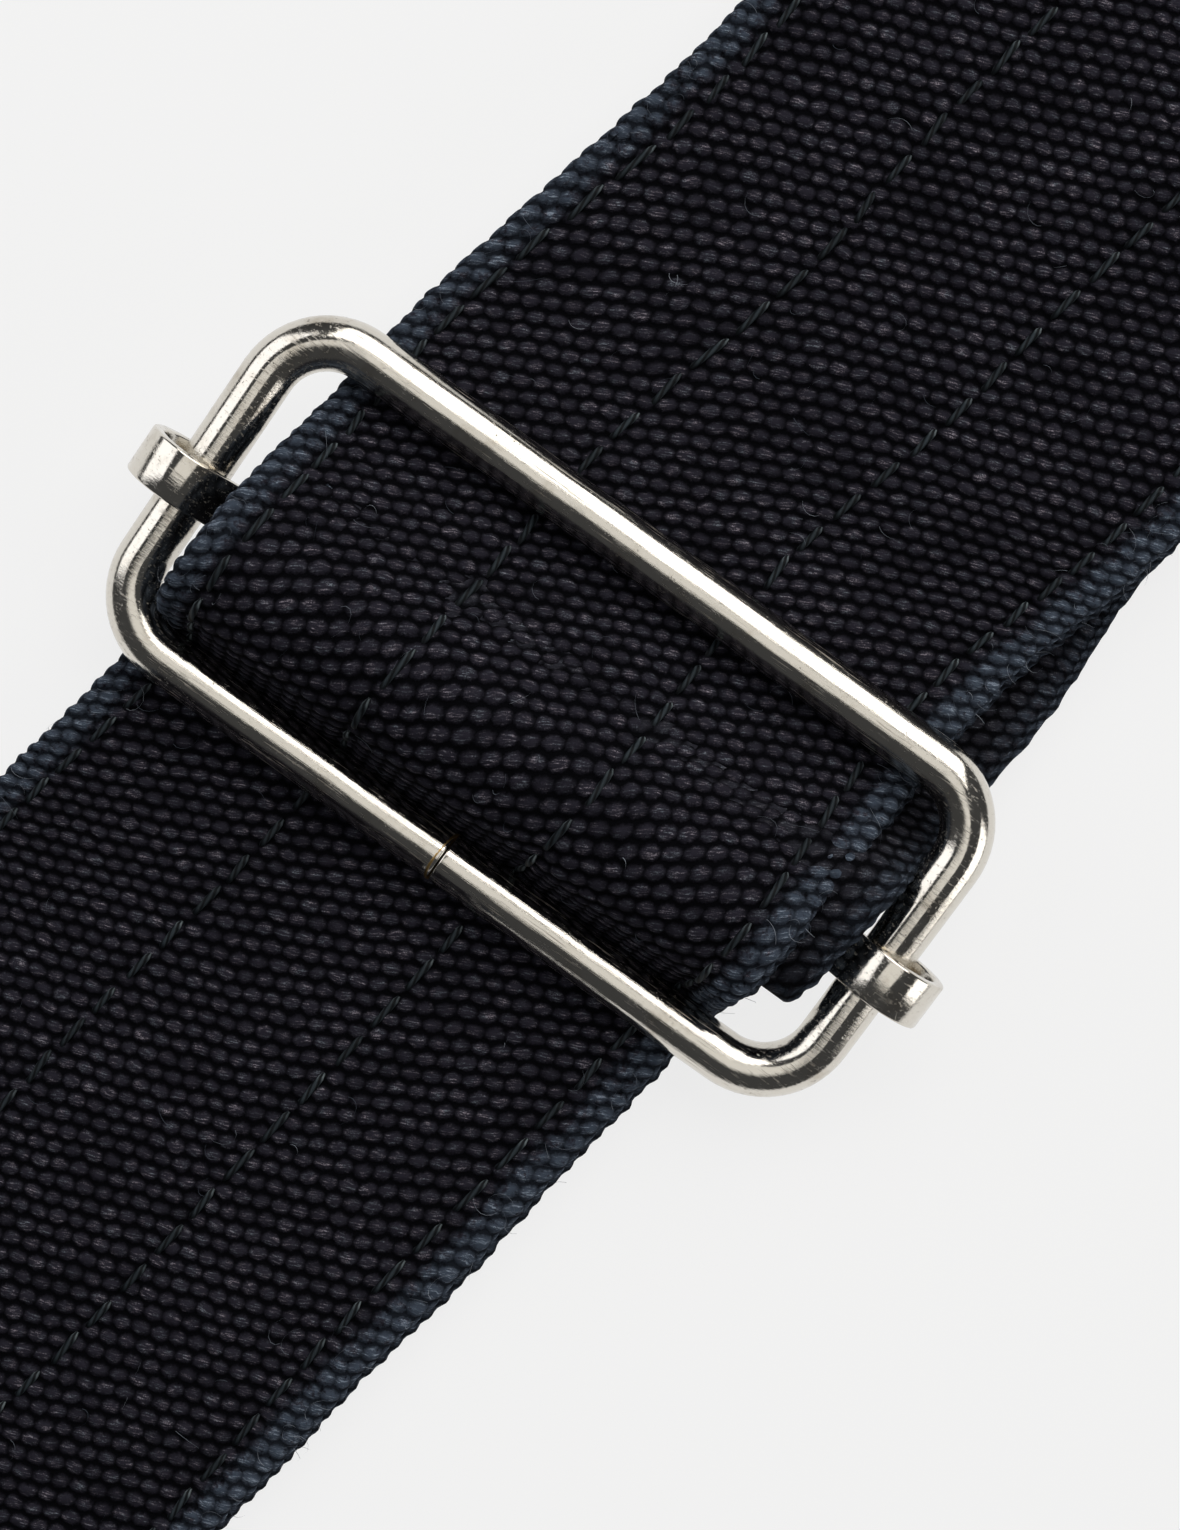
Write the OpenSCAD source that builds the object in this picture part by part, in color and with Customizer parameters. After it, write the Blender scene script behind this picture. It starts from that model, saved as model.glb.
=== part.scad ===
// Guitar strap: cotton canvas strap, wire slider, wire ring and two leather button tabs.
// +X runs along the strap towards the tail, +Y across it, +Z up.
// The origin lies on the underside of the straight stretch, before the slider.

/* [Canvas strap] */
// Width of the canvas strap
strap_w = 50; // [40:1:52]
// Thickness of both canvas plies together
strap_t = 3; // [2.6:0.1:3.1]
// Thickness of the face ply
face_ply_t = 1.6; // [1.2:0.1:1.8]
// Gap left between a layer and what it slides on
layer_gap = 0.3; // [0.2:0.05:0.4]

/* [Slider] */
// Diameter of the wire of slider and ring
wire_d = 4; // [3.5:0.1:4.2]
// Centre-to-centre length of the slider frame, across the strap
frame_l = 60.5; // [59:0.5:66]
// Centre-to-centre width of the slider frame, along the strap
frame_w = 26.5; // [26:0.1:28]
// Corner radius of the slider frame on the wire's centreline
frame_r = 5; // [4:0.1:5.2]
// Lift of the frame's tail side, in degrees
frame_tilt = 9; // [8:0.5:10]
// Turn of the slider across the strap, in degrees
frame_turn = 8.4; // [0:0.1:9]
// Width of the centre bar's plate
bar_w = 5; // [4.5:0.1:5.2]
// Thickness of the centre bar's sheet
bar_t = 0.9; // [0.7:0.1:1]
// Width of the centre bar's curled tongues
tongue_w = 3.7; // [3:0.1:4.2]

/* [Tail ring] */
// Distance from the slider to the ring's first bar
ring_x = 140; // [125:1:160]
// Centre-to-centre width of the ring, along the strap
ring_w = 16; // [15:0.5:20]
// Clear length inside the ring, across the strap
ring_clear = 53; // [53:0.5:56]

/* [Leather tabs] */
// Thickness of the leather
leather_t = 2.6; // [2.2:0.1:2.8]
// Width of a tab at the strap
tab_w = 46; // [42:1:48]
// Radius of a tab's rounded tip
tip_r = 17; // [14:0.5:19]
// Radius of the strap button's hole
button_r = 4.25; // [3.75:0.25:5]
// Length of the slit beside the hole
slit_l = 13; // [8:0.5:16]

/* [Rolled length] */
// Distance from the slider to the middle of the roll
roll_x = 140; // [135:1:170]
// Radius at which the roll's windings start
roll_core_r = 12; // [11:0.5:14]
// Turns of each of the roll's two arms
roll_turns = 2.25; // [1.5:0.25:2.5]

/* [Hidden] */

canvas_colour = "#16171c";
thread_colour = "#3a4146";
nickel_colour = "#cfc9bd";
leather_colour = "#1d1a18";

left = 1;             // a belt that turns left round a circle
right = -1;           // a belt that turns right round a circle
arc_step = 9;         // degrees between points of an arc
sliver = 0.02;        // smallest turn that still draws an arc, in degrees

half_t = strap_t / 2;
wire_r = wire_d / 2;
ply_line = half_t - face_ply_t;                   // where the two plies meet, from the middle
wrap_r = wire_r + layer_gap + half_t;             // strap's middle round a wire
layer_pitch = strap_t + layer_gap;

// Distances along the strap count from the middle of the slider, which lies here
slider_x = 80;

// Slider, as laid: its lower bar rests on one layer of strap
slider_y = -0.7;
lower_bar_z = strap_t + layer_gap + wire_r;
frame_z = lower_bar_z + frame_w / 2 * sin(frame_tilt);
upper_bar_z = lower_bar_z + frame_w * sin(frame_tilt);
bar_reach = frame_w / 2 * cos(frame_tilt) / cos(frame_turn);   // along the strap
bar_u = -1.4;         // centre bar's place on the side wires
bar_lift = 1.2;       // plate's height over the middle plane of the wires
pocket_r = bar_t / 2 + 0.2 + half_t;              // strap's middle round the plate
plate_fold_u = bar_u - bar_w / 2 + 0.45;
shoulder_u = bar_u + bar_w / 2 - 0.5;
shoulder_r = 4.3;
tail_r = 3.4;
landing_r = 40;
landing_x = 24;

// Ends of the stretches that each moving body carries
pass_start_x = -46;
pass_end_x = 40;
shear_flat_x = 19;    // the cloth runs oblique to the bars up to here
pass_shift_y = -0.5;  // the cloth lies this far to one side in the slider
loop_shift_y = -2.4;  // and so does the sewn end
gather = 0.03;        // share of its width the cloth loses in the slider

stitch_inset = [2.9, 17, 32.5, 46.5] / 50;        // rows, as shares of the width from +Y
stitch_w = 0.8;
stitch_h = 0.2;
close_row_at = [0.8, 3.2];                        // rows that close the sewn end, down its slope
close_row_inset = 3;

// Roll
roll_pitch = 2 * (strap_t + 0.4);                 // growth of one arm in one turn
roll_end_r = roll_core_r + roll_pitch * roll_turns;
roll_z = roll_end_r + half_t;
roll_step = 10;
front_end_x = -roll_x - 2 * roll_end_r - roll_pitch / 4 - 46;   // canvas end in the front tab

tab_grip = 28;        // canvas held inside the front tab
front_tip_x = front_end_x - 76;
tail_tip_x = ring_x + ring_w + 89;
tab_hole_inset = 15;
ring_z = strap_t + layer_gap + wire_r;
ring_far_z = leather_t + layer_gap + wire_r;
ring_tilt = asin((ring_z - ring_far_z) / ring_w);
fold_x = ring_x + ring_w + 32;      // the tail leaf's two layers touch from here on
tail_leaf_x = fold_x + 18;          // end of its lower layer

// --- Routes: a strip runs like a belt round circles [x, z, radius, side] ---

function normal(a) = [-sin(a), cos(a)];
function centre(c) = [c[0], c[1]];

// Heading of the straight stretch that touches two circles
function heading(a, b) =
  let(d = centre(b) - centre(a))
  atan2(d[1], d[0]) - asin((b[3] * b[2] - a[3] * a[2]) / norm(d));

// Turn between two headings, taken the way the belt goes
function turned(from, to, side) =
  side == left ? (to - from + 720 + sliver) % 360 - sliver
               : -((from - to + 720 + sliver) % 360 - sliver);

function arc_points(c, from, turn) =
  let(n = max(1, ceil(abs(turn) / arc_step)))
  [for (i = [0 : n]) centre(c) - c[3] * c[2] * normal(from + turn * i / n)];

function belt(circles) =
  let(n = len(circles), h = [for (i = [0 : n - 2]) heading(circles[i], circles[i + 1])])
  concat(
    [centre(circles[0])],
    [for (i = [1 : n - 2])
      each arc_points(circles[i], h[i - 1], turned(h[i - 1], h[i], circles[i][3]))],
    [centre(circles[n - 1])]);

// Heading at each point, and the same route moved sideways
function along(p, i) =
  let(a = p[max(0, i - 1)], b = p[min(len(p) - 1, i + 1)], d = b - a)
  atan2(d[1], d[0]);
function beside(p, off) = [for (i = [0 : len(p) - 1]) p[i] + off * normal(along(p, i))];
function backwards(p) = [for (i = [len(p) - 1 : -1 : 0]) p[i]];

// Slider's own place u along its side wires and w above them, in a section along the strap
function laid(u, w) = [
  (u * cos(frame_tilt) - w * sin(frame_tilt)) / cos(frame_turn),
  frame_z + u * sin(frame_tilt) + w * cos(frame_tilt)];
function laid_circle(u, w, r, side) = concat(laid(u, w), [r, side]);

function pass_route() = belt([
  [pass_start_x, half_t, 0, left],
  [-bar_reach, lower_bar_z, wrap_r, left],
  laid_circle(plate_fold_u, bar_lift, pocket_r + layer_pitch, right),
  laid_circle(shoulder_u, bar_lift + pocket_r - shoulder_r, shoulder_r + layer_pitch, right),
  [bar_reach, upper_bar_z, wrap_r, left],
  [landing_x, half_t + landing_r, landing_r - layer_pitch, left],
  [pass_end_x, half_t + layer_pitch, 0, left]]);

function bar_loop_route() =
  let(n = normal(heading(
      laid_circle(shoulder_u, bar_lift + pocket_r - shoulder_r, shoulder_r, right),
      [bar_reach, upper_bar_z, wrap_r + layer_pitch, left])),
    tail_c = laid(shoulder_u - 0.6, bar_lift - pocket_r - tail_r),
    tail_end = tail_c + tail_r * n + 3.2 * [n[1], -n[0]])
  belt([
    [pass_end_x, half_t, 0, left],
    [landing_x, half_t + landing_r, landing_r, right],
    [bar_reach, upper_bar_z, wrap_r + layer_pitch, right],
    laid_circle(shoulder_u, bar_lift + pocket_r - shoulder_r, shoulder_r, left),
    laid_circle(plate_fold_u, bar_lift, pocket_r, left),
    concat(tail_c, [tail_r, right]),
    concat(tail_end, [0, left])]);

function ring_loop_route() = belt([
  [pass_end_x, half_t + layer_pitch, 0, left],
  [ring_x - 32, half_t + layer_pitch + 30, 30, left],
  [ring_x, ring_z, wrap_r, right],
  [pass_end_x, half_t, 0, right]]);

// The roll's two arms run beside each other and meet in an S at its middle
function arm_point(turn_deg, start_deg) =
  (roll_core_r + roll_pitch * turn_deg / 360)
  * [cos(start_deg + turn_deg), sin(start_deg + turn_deg)];

function roll_route() =
  let(turn = 360 * roll_turns, first = 270 - turn,
    near_arm = [for (a = [0 : roll_step : turn]) arm_point(a, first)],
    far_arm = [for (a = [0 : roll_step : turn + 90]) arm_point(a, first + 180)],
    core = roll_core_r / 2 * [cos(first), sin(first)],
    far_half = [for (a = [165 : -15 : 15])
      -core + roll_core_r / 2 * [cos(first + a), sin(first + a)]],
    near_half = [for (a = [180 : 15 : 345])
      core + roll_core_r / 2 * [cos(first + a), sin(first + a)]])
  [for (p = concat(backwards(far_arm), far_half, near_half, near_arm)) p + [-roll_x, roll_z]];

function long_run_route() =
  let(roll = roll_route(), rise_x = roll[0][0] - roll_end_r)
  concat(
    belt([
      [front_end_x, leather_t + half_t, 0, left],
      [front_end_x + tab_grip, leather_t + half_t - 20, 20, right],
      [front_end_x + tab_grip + 15, half_t + 20, 20, left],
      [rise_x, half_t, 0, left]]),
    [for (a = [roll_step : roll_step : 90 - roll_step])
      [rise_x, roll_z] + roll_end_r * [sin(a), -cos(a)]],
    roll,
    [[-roll_x + 12, half_t], [pass_start_x, half_t]]);

function front_leaf_route() =
  let(low = leather_t * 1.5, high = leather_t * 1.5 + strap_t)
  belt([
    [front_tip_x, low, 0, left],
    [front_end_x - 22, low + 18, 18, left],
    [front_end_x - 4, high - 18, 18, right],
    [front_end_x + tab_grip - 2, high, 0, left]]);

function tail_leaf_route() = belt([
  [tail_leaf_x, leather_t / 2, 0, left],
  [ring_x + ring_w, ring_far_z, wire_r + layer_gap + leather_t / 2, right],
  [fold_x, leather_t * 1.5 + 30, 30, left],
  [tail_tip_x, leather_t * 1.5, 0, left]]);

// --- Solids along a route ---

// A straight-sided strip between two sideways offsets of a route, from y0 to y1
module strip(route, low, high, y0, y1) {
  translate([0, y1, 0]) rotate([90, 0, 0])
    linear_extrude(y1 - y0)
      polygon(concat(beside(route, low), backwards(beside(route, high))));
}

// How far the cloth is drawn oblique at x: whole between the bars, none at the ends
function draw_share(x) =
  x < -shear_flat_x ? (x - pass_start_x) / (-shear_flat_x - pass_start_x)
  : x > shear_flat_x ? (pass_end_x - x) / (pass_end_x - shear_flat_x)
  : 1;
function settled(s) = let(t = min(1, max(0, s))) t * t * (3 - 2 * t);

function drawn(p, y, shift) =
  let(s = settled(draw_share(p[0])), side = y * (1 - gather * s) + shift * s)
  [p[0] - (side - slider_y) * tan(frame_turn) * s, side, p[1]];

// A strip drawn oblique where it crosses the turned slider
module drawn_strip(route, low, high, y0, y1, shift = pass_shift_y) {
  rim = concat(beside(route, low), backwards(beside(route, high)));
  n = len(rim);
  half = n / 2;
  polyhedron(
    points = concat([for (p = rim) drawn(p, y0, shift)], [for (p = rim) drawn(p, y1, shift)]),
    faces = concat(
      [for (i = [0 : half - 2]) each [[i, i + 1, n - 2 - i], [i, n - 2 - i, n - 1 - i]]],
      [for (i = [0 : half - 2])
        each [[n + i, 2 * n - 2 - i, n + i + 1], [n + i, 2 * n - 1 - i, 2 * n - 2 - i]]],
      [for (i = [0 : n - 1])
        each [[i, n + i, n + (i + 1) % n], [i, n + (i + 1) % n, (i + 1) % n]]]));
}

module face_ply(route) { strip(route, ply_line, half_t, -strap_w / 2, strap_w / 2); }
module back_ply(route) { strip(route, -half_t, ply_line, -strap_w / 2, strap_w / 2); }

function row_y(share) = strap_w / 2 - share * strap_w;

// Slider's own frame: x along the side wires, y across the strap, z above the wires
module at_slider() {
  translate([0, slider_y, frame_z]) rotate([0, 0, frame_turn]) rotate([0, -frame_tilt, 0])
    children();
}

// A closed loop of wire, round corners, flat on the XY plane
module wire_loop(l, w, r) {
  for (s = [-1, 1]) {
    translate([s * w / 2, l / 2 - r, 0]) rotate([90, 0, 0])
      cylinder(h = l - 2 * r, r = wire_r, $fn = 32);
    translate([-w / 2 + r, s * l / 2, 0]) rotate([0, 90, 0])
      cylinder(h = w - 2 * r, r = wire_r, $fn = 32);
  }
  for (a = [0 : 90 : 270])
    translate([(a == 0 || a == 270 ? 1 : -1) * (w / 2 - r), (a < 180 ? 1 : -1) * (l / 2 - r), 0])
      rotate([0, 0, a]) rotate_extrude(angle = 90, $fn = 64)
        translate([r, 0]) circle(wire_r, $fn = 32);
}

// From distances along the strap to the part's own frame
module from_origin() { translate([slider_x, 0, 0]) children(); }

// --- Canvas that stays with the front of the strap ---

module long_run_face_ply() { color(canvas_colour) face_ply(long_run_route()); }
module long_run_back_ply() { color(canvas_colour) back_ply(long_run_route()); }

// The sewn rows on the straight stretch before the slider
module long_run_stitching() {
  color(thread_colour)
    for (share = stitch_inset)
      translate([-roll_x + 12, row_y(share) - stitch_w / 2, strap_t])
        cube([pass_start_x + roll_x - 12, stitch_w, stitch_h]);
}

// --- Canvas through the slider ---

module slider_pass_face_ply() {
  color(canvas_colour)
    drawn_strip(pass_route(), ply_line, half_t, -strap_w / 2, strap_w / 2);
}
module slider_pass_back_ply() {
  color(canvas_colour)
    drawn_strip(pass_route(), -half_t, ply_line, -strap_w / 2, strap_w / 2);
}
module slider_pass_stitching() {
  color(thread_colour)
    for (share = stitch_inset)
      drawn_strip(pass_route(), half_t, half_t + stitch_h,
        row_y(share) - stitch_w / 2, row_y(share) + stitch_w / 2);
}

// --- Sewn end round the centre bar ---

module bar_loop_face_ply() {
  color(canvas_colour)
    drawn_strip(bar_loop_route(), ply_line, half_t, -strap_w / 2, strap_w / 2, loop_shift_y);
}
module bar_loop_back_ply() {
  color(canvas_colour)
    drawn_strip(bar_loop_route(), -half_t, ply_line, -strap_w / 2, strap_w / 2, loop_shift_y);
}

// Two cross rows that close the loop, on its upper slope
module bar_loop_stitching() {
  shoulder = laid_circle(shoulder_u, bar_lift + pocket_r - shoulder_r, shoulder_r, right);
  slope = heading(shoulder, [bar_reach, upper_bar_z, wrap_r + layer_pitch, left]);
  top = centre(shoulder) + shoulder_r * normal(slope);
  down = [cos(slope), sin(slope)];
  color(thread_colour)
    for (d = close_row_at)
      drawn_strip([top + d * down, top + (d + stitch_w) * down], half_t, half_t + stitch_h,
        -strap_w / 2 + close_row_inset, strap_w / 2 - close_row_inset, loop_shift_y);
}

// --- Slider ---

// Bent wire frame; its ends meet in a butt joint at the middle of the lower bar
module slider_frame() {
  color(nickel_colour) at_slider() difference() {
    wire_loop(frame_l, frame_w, frame_r);
    translate([-frame_w / 2, 0.1, 0]) rotate([90, 0, 0]) difference() {
      cylinder(h = 0.2, r = wire_r + 1, $fn = 32);
      translate([0, 0, -1]) cylinder(h = 2.2, r = wire_r - 0.3, $fn = 32);
    }
  }
}

curl_r = wire_r + 0.9 + bar_t / 2;   // middle of the sheet in the curl round a side wire
curl_y = frame_l / 2 + 0.9;
curl_end = 205;               // degrees from the top, outwards and under
plate_end_y = 25.6;           // the plate narrows to its tongues here
ramp_y = 26.6;                // and the tongues start to rise here
ramp_r = 1.2;
function tongue_route() = belt([
  [0, bar_lift, 0, left],
  [ramp_y, bar_lift + ramp_r, ramp_r, left],
  [curl_y, 0, curl_r, right],
  [curl_y - curl_r * sin(curl_end), curl_r * cos(curl_end), 0, right]]);

function curled(p) =
  concat([for (q = p) if (q[0] < curl_y && q[1] > 0) q],
    [for (a = [0 : 10 : curl_end]) [curl_y + curl_r * sin(a), curl_r * cos(a)]]);

// One half of the bar: plate, shoulder and a tongue curled round the side wire
module half_bar() {
  route = curled(tongue_route());
  translate([bar_u - tongue_w / 2, 0, 0]) rotate([90, 0, 90])
    linear_extrude(tongue_w)
      polygon(concat(beside(route, -bar_t / 2), backwards(beside(route, bar_t / 2))));
  translate([bar_u - bar_w / 2, 0, bar_lift - bar_t / 2]) cube([bar_w, plate_end_y, bar_t]);
}

module slider_centre_bar() {
  color(nickel_colour) at_slider() {
    half_bar();
    mirror([0, 1, 0]) half_bar();
  }
}

// --- Canvas loop through the ring ---

module ring_loop_face_ply() { color(canvas_colour) face_ply(ring_loop_route()); }
module ring_loop_back_ply() { color(canvas_colour) back_ply(ring_loop_route()); }
module ring_loop_stitching() {
  top = strap_t + layer_pitch;
  color(thread_colour)
    for (share = stitch_inset)
      translate([pass_end_x, row_y(share) - stitch_w / 2, top])
        cube([ring_x - 40 - pass_end_x, stitch_w, stitch_h]);
}

module tail_ring() {
  color(nickel_colour)
    translate([ring_x, 0, ring_z]) rotate([0, ring_tilt, 0]) translate([ring_w / 2, 0, 0])
      wire_loop(ring_clear + wire_d, ring_w, 4);
}

// --- Leather tabs ---

// Outline seen from above, its tip at x = 0 and the strap towards +X; the sides are
// parallel for a stretch of length back at the strap end
module tab_outline(l, back) {
  shoulder = [l - tip_r - back, tab_w / 2];
  touch = atan2(shoulder[1], shoulder[0]) + acos(tip_r / norm(shoulder));
  steps = 36;
  polygon(concat(
    [[l, tab_w / 2]], [[l - back, tab_w / 2]],
    [for (i = [0 : steps]) let(a = touch + (360 - 2 * touch) * i / steps)
      [tip_r + tip_r * cos(a), tip_r * sin(a)]],
    [[l - back, -tab_w / 2]], [[l, -tab_w / 2]]));
}

// Button hole and the slit that lets the button's head through
module button_cut() {
  translate([0, 0, -1]) cylinder(h = 20, r = button_r, $fn = 48);
  translate([0, -0.6, -1]) cube([button_r + slit_l, 1.2, 20]);
}

module front_tab_cut(x1) {
  difference() {
    intersection() {
      children();
      translate([front_tip_x, 0, -1]) linear_extrude(20) tab_outline(x1 - front_tip_x, 34);
    }
    translate([front_tip_x + tab_hole_inset, 0, 0]) button_cut();
  }
}

module front_tab_outer() {
  color(leather_colour) front_tab_cut(front_end_x + tab_grip)
    strip(front_leaf_route(), -leather_t / 2, leather_t / 2, -tab_w, tab_w);
}
module front_tab_lining() {
  color(leather_colour) front_tab_cut(front_end_x + tab_grip)
    translate([front_tip_x, -tab_w, 0])
      cube([front_end_x + tab_grip - 2 - front_tip_x, 2 * tab_w, leather_t]);
}

// A box of stitching on top of a tab: two long rows and two cross rows
module stitch_box(x0, x1, z) {
  w = tab_w / 2 - 4;
  for (s = [-1, 1]) translate([x0, s * w - stitch_w / 2, z]) cube([x1 - x0, stitch_w, stitch_h]);
  for (x = [x0, x1 - stitch_w])
    translate([x, -w + stitch_w / 2, z]) cube([stitch_w, 2 * w - stitch_w, stitch_h]);
}
module front_tab_stitching() {
  color(thread_colour)
    stitch_box(front_end_x + 3, front_end_x + tab_grip - 5, 2 * leather_t + strap_t);
}

module tail_tab_cut() {
  difference() {
    intersection() {
      children();
      translate([tail_tip_x, 0, -1]) rotate([0, 0, 180])
        linear_extrude(30) tab_outline(tail_tip_x - ring_x - ring_w + 8, 58);
    }
    translate([tail_tip_x - tab_hole_inset, 0, 0]) rotate([0, 0, 180]) button_cut();
  }
}

module tail_tab_outer() {
  color(leather_colour) tail_tab_cut()
    strip(tail_leaf_route(), -leather_t / 2, leather_t / 2, -tab_w, tab_w);
}
module tail_tab_lining() {
  color(leather_colour) tail_tab_cut()
    translate([tail_leaf_x + 0.5, -tab_w, 0])
      cube([tail_tip_x - tail_leaf_x - 0.5, 2 * tab_w, leather_t]);
}
module tail_tab_stitching() {
  color(thread_colour) stitch_box(fold_x + 1, tail_leaf_x - 2, 2 * leather_t);
}

from_origin() long_run_face_ply();
from_origin() long_run_back_ply();
from_origin() long_run_stitching();
from_origin() front_tab_outer();
from_origin() front_tab_lining();
from_origin() front_tab_stitching();
from_origin() slider_pass_face_ply();
from_origin() slider_pass_back_ply();
from_origin() slider_pass_stitching();
from_origin() bar_loop_face_ply();
from_origin() bar_loop_back_ply();
from_origin() bar_loop_stitching();
from_origin() slider_centre_bar();
from_origin() slider_frame();
from_origin() ring_loop_face_ply();
from_origin() ring_loop_back_ply();
from_origin() ring_loop_stitching();
from_origin() tail_ring();
from_origin() tail_tab_outer();
from_origin() tail_tab_lining();
from_origin() tail_tab_stitching();
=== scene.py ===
"""Guitar strap: canvas in two sewn plies, a wire slider, a wire ring and two leather tabs.

Sizes are millimetres until a point is placed in the frame, which is in metres. Distances along the
strap count from the middle of the slider, +X towards the tail, +Y across the strap and +Z up.
"""
import logging
import math
from dataclasses import dataclass, field
from enum import Enum
from typing import Any, Callable, Sequence

import bmesh
import bpy
import numpy as np
from mathutils import Matrix, Vector


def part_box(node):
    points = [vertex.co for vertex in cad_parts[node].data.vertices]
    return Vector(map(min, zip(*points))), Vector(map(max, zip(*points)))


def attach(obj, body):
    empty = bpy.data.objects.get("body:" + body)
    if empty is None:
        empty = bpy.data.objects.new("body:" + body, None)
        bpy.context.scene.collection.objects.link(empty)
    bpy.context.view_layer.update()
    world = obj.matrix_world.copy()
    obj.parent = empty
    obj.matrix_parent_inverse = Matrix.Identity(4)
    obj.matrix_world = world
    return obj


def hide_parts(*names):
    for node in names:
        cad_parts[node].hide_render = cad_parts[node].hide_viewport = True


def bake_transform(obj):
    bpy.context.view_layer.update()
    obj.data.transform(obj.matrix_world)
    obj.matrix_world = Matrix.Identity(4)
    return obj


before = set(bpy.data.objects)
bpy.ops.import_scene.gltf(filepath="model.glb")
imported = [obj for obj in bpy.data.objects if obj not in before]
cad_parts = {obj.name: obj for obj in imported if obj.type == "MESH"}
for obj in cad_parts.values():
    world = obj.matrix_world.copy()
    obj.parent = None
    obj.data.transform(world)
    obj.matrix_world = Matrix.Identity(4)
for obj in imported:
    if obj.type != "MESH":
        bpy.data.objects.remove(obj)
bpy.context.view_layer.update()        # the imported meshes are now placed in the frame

LOG = logging.getLogger("guitar_strap")
MM = 0.001
Colour = tuple[float, float, float]
Numbers = np.ndarray


# --------------------------------------------------------------------------- sizes

@dataclass(frozen=True)
class Sizes:
    """Driving sizes of the strap and its metalwork, in millimetres and degrees."""

    strap_w: float = 50.0
    strap_t: float = 3.0
    face_t: float = 1.6
    gap: float = 0.3
    wire_r: float = 2.0
    frame_l: float = 60.5
    frame_w: float = 26.5
    frame_corner: float = 5.3
    frame_tilt: float = 9.0
    frame_turn: float = 8.4
    bar_w: float = 5.0
    bar_t: float = 0.9
    bar_u: float = -1.4
    bar_lift: float = 1.2
    tongue_w: float = 3.7
    ring_x: float = 140.0
    ring_w: float = 16.0
    ring_l: float = 57.0
    ring_corner: float = 4.0
    leather_t: float = 2.6
    tab_w: float = 46.0
    tip_r: float = 17.0
    button_r: float = 4.25
    slit_l: float = 13.0
    roll_x: float = 140.0
    roll_core_r: float = 12.0
    roll_turns: float = 2.25
    pass_shift: float = 1.7
    loop_shift: float = -2.4

    @property
    def half_t(self) -> float:
        """Half the strap's thickness."""
        return self.strap_t / 2

    @property
    def ply_line(self) -> float:
        """Height of the joint between the plies, from the strap's middle."""
        return self.half_t - self.face_t

    @property
    def wrap_r(self) -> float:
        """Radius of the strap's middle where it bends round a wire."""
        return self.wire_r + self.gap + self.half_t

    @property
    def pitch(self) -> float:
        """Distance between the middles of two layers of strap."""
        return self.strap_t + self.gap

    @property
    def tilt(self) -> float:
        """Lift of the slider's tail side, in radians."""
        return math.radians(self.frame_tilt)

    @property
    def turn(self) -> float:
        """Turn of the slider across the strap, in radians."""
        return math.radians(self.frame_turn)

    @property
    def lower_bar_z(self) -> float:
        """Height of the slider's lower long bar."""
        return self.strap_t + self.gap + self.wire_r

    @property
    def upper_bar_z(self) -> float:
        """Height of the slider's upper long bar."""
        return self.lower_bar_z + self.frame_w * math.sin(self.tilt)

    @property
    def frame_z(self) -> float:
        """Height of the slider's middle."""
        return (self.lower_bar_z + self.upper_bar_z) / 2

    @property
    def bar_reach(self) -> float:
        """Distance along the strap from the slider's middle to a long bar."""
        return self.frame_w / 2 * math.cos(self.tilt) / math.cos(self.turn)

    @property
    def pocket_r(self) -> float:
        """Radius of the sewn end's middle round the centre bar's plate."""
        return self.bar_t / 2 + 0.2 + self.half_t

    @property
    def roll_pitch(self) -> float:
        """Growth of one arm of the roll in one turn."""
        return 2 * (self.strap_t + 0.4)

    @property
    def roll_end_r(self) -> float:
        """Radius of the roll's outermost winding."""
        return self.roll_core_r + self.roll_pitch * self.roll_turns

    @property
    def front_end_x(self) -> float:
        """End of the canvas inside the front tab."""
        return -self.roll_x - 2 * self.roll_end_r - self.roll_pitch / 4 - 46

    @property
    def ring_z(self) -> float:
        """Height of the ring's first bar."""
        return self.strap_t + self.gap + self.wire_r

    @property
    def ring_far_z(self) -> float:
        """Height of the ring's far bar."""
        return self.leather_t + self.gap + self.wire_r


SIZES = Sizes()
SLIDER_LOW, SLIDER_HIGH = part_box("slider_frame")
SLIDER_X = round((SLIDER_LOW.x + SLIDER_HIGH.x) / 2 / MM, 1)
SLIDER_Y = round((SLIDER_LOW.y + SLIDER_HIGH.y) / 2 / MM, 1)


# --------------------------------------------------------------------------- routes

class Side(Enum):
    """The side of the strap's travel on which a circle's centre lies."""

    LEFT = 1
    RIGHT = -1


@dataclass(frozen=True)
class Bend:
    """A circle that the strap bends round, seen from the side; radius 0 is an end."""

    x: float
    z: float
    radius: float = 0.0
    side: Side = Side.LEFT

    @property
    def signed(self) -> float:
        """Radius, negative for a right-hand bend."""
        return self.radius * self.side.value


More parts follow.
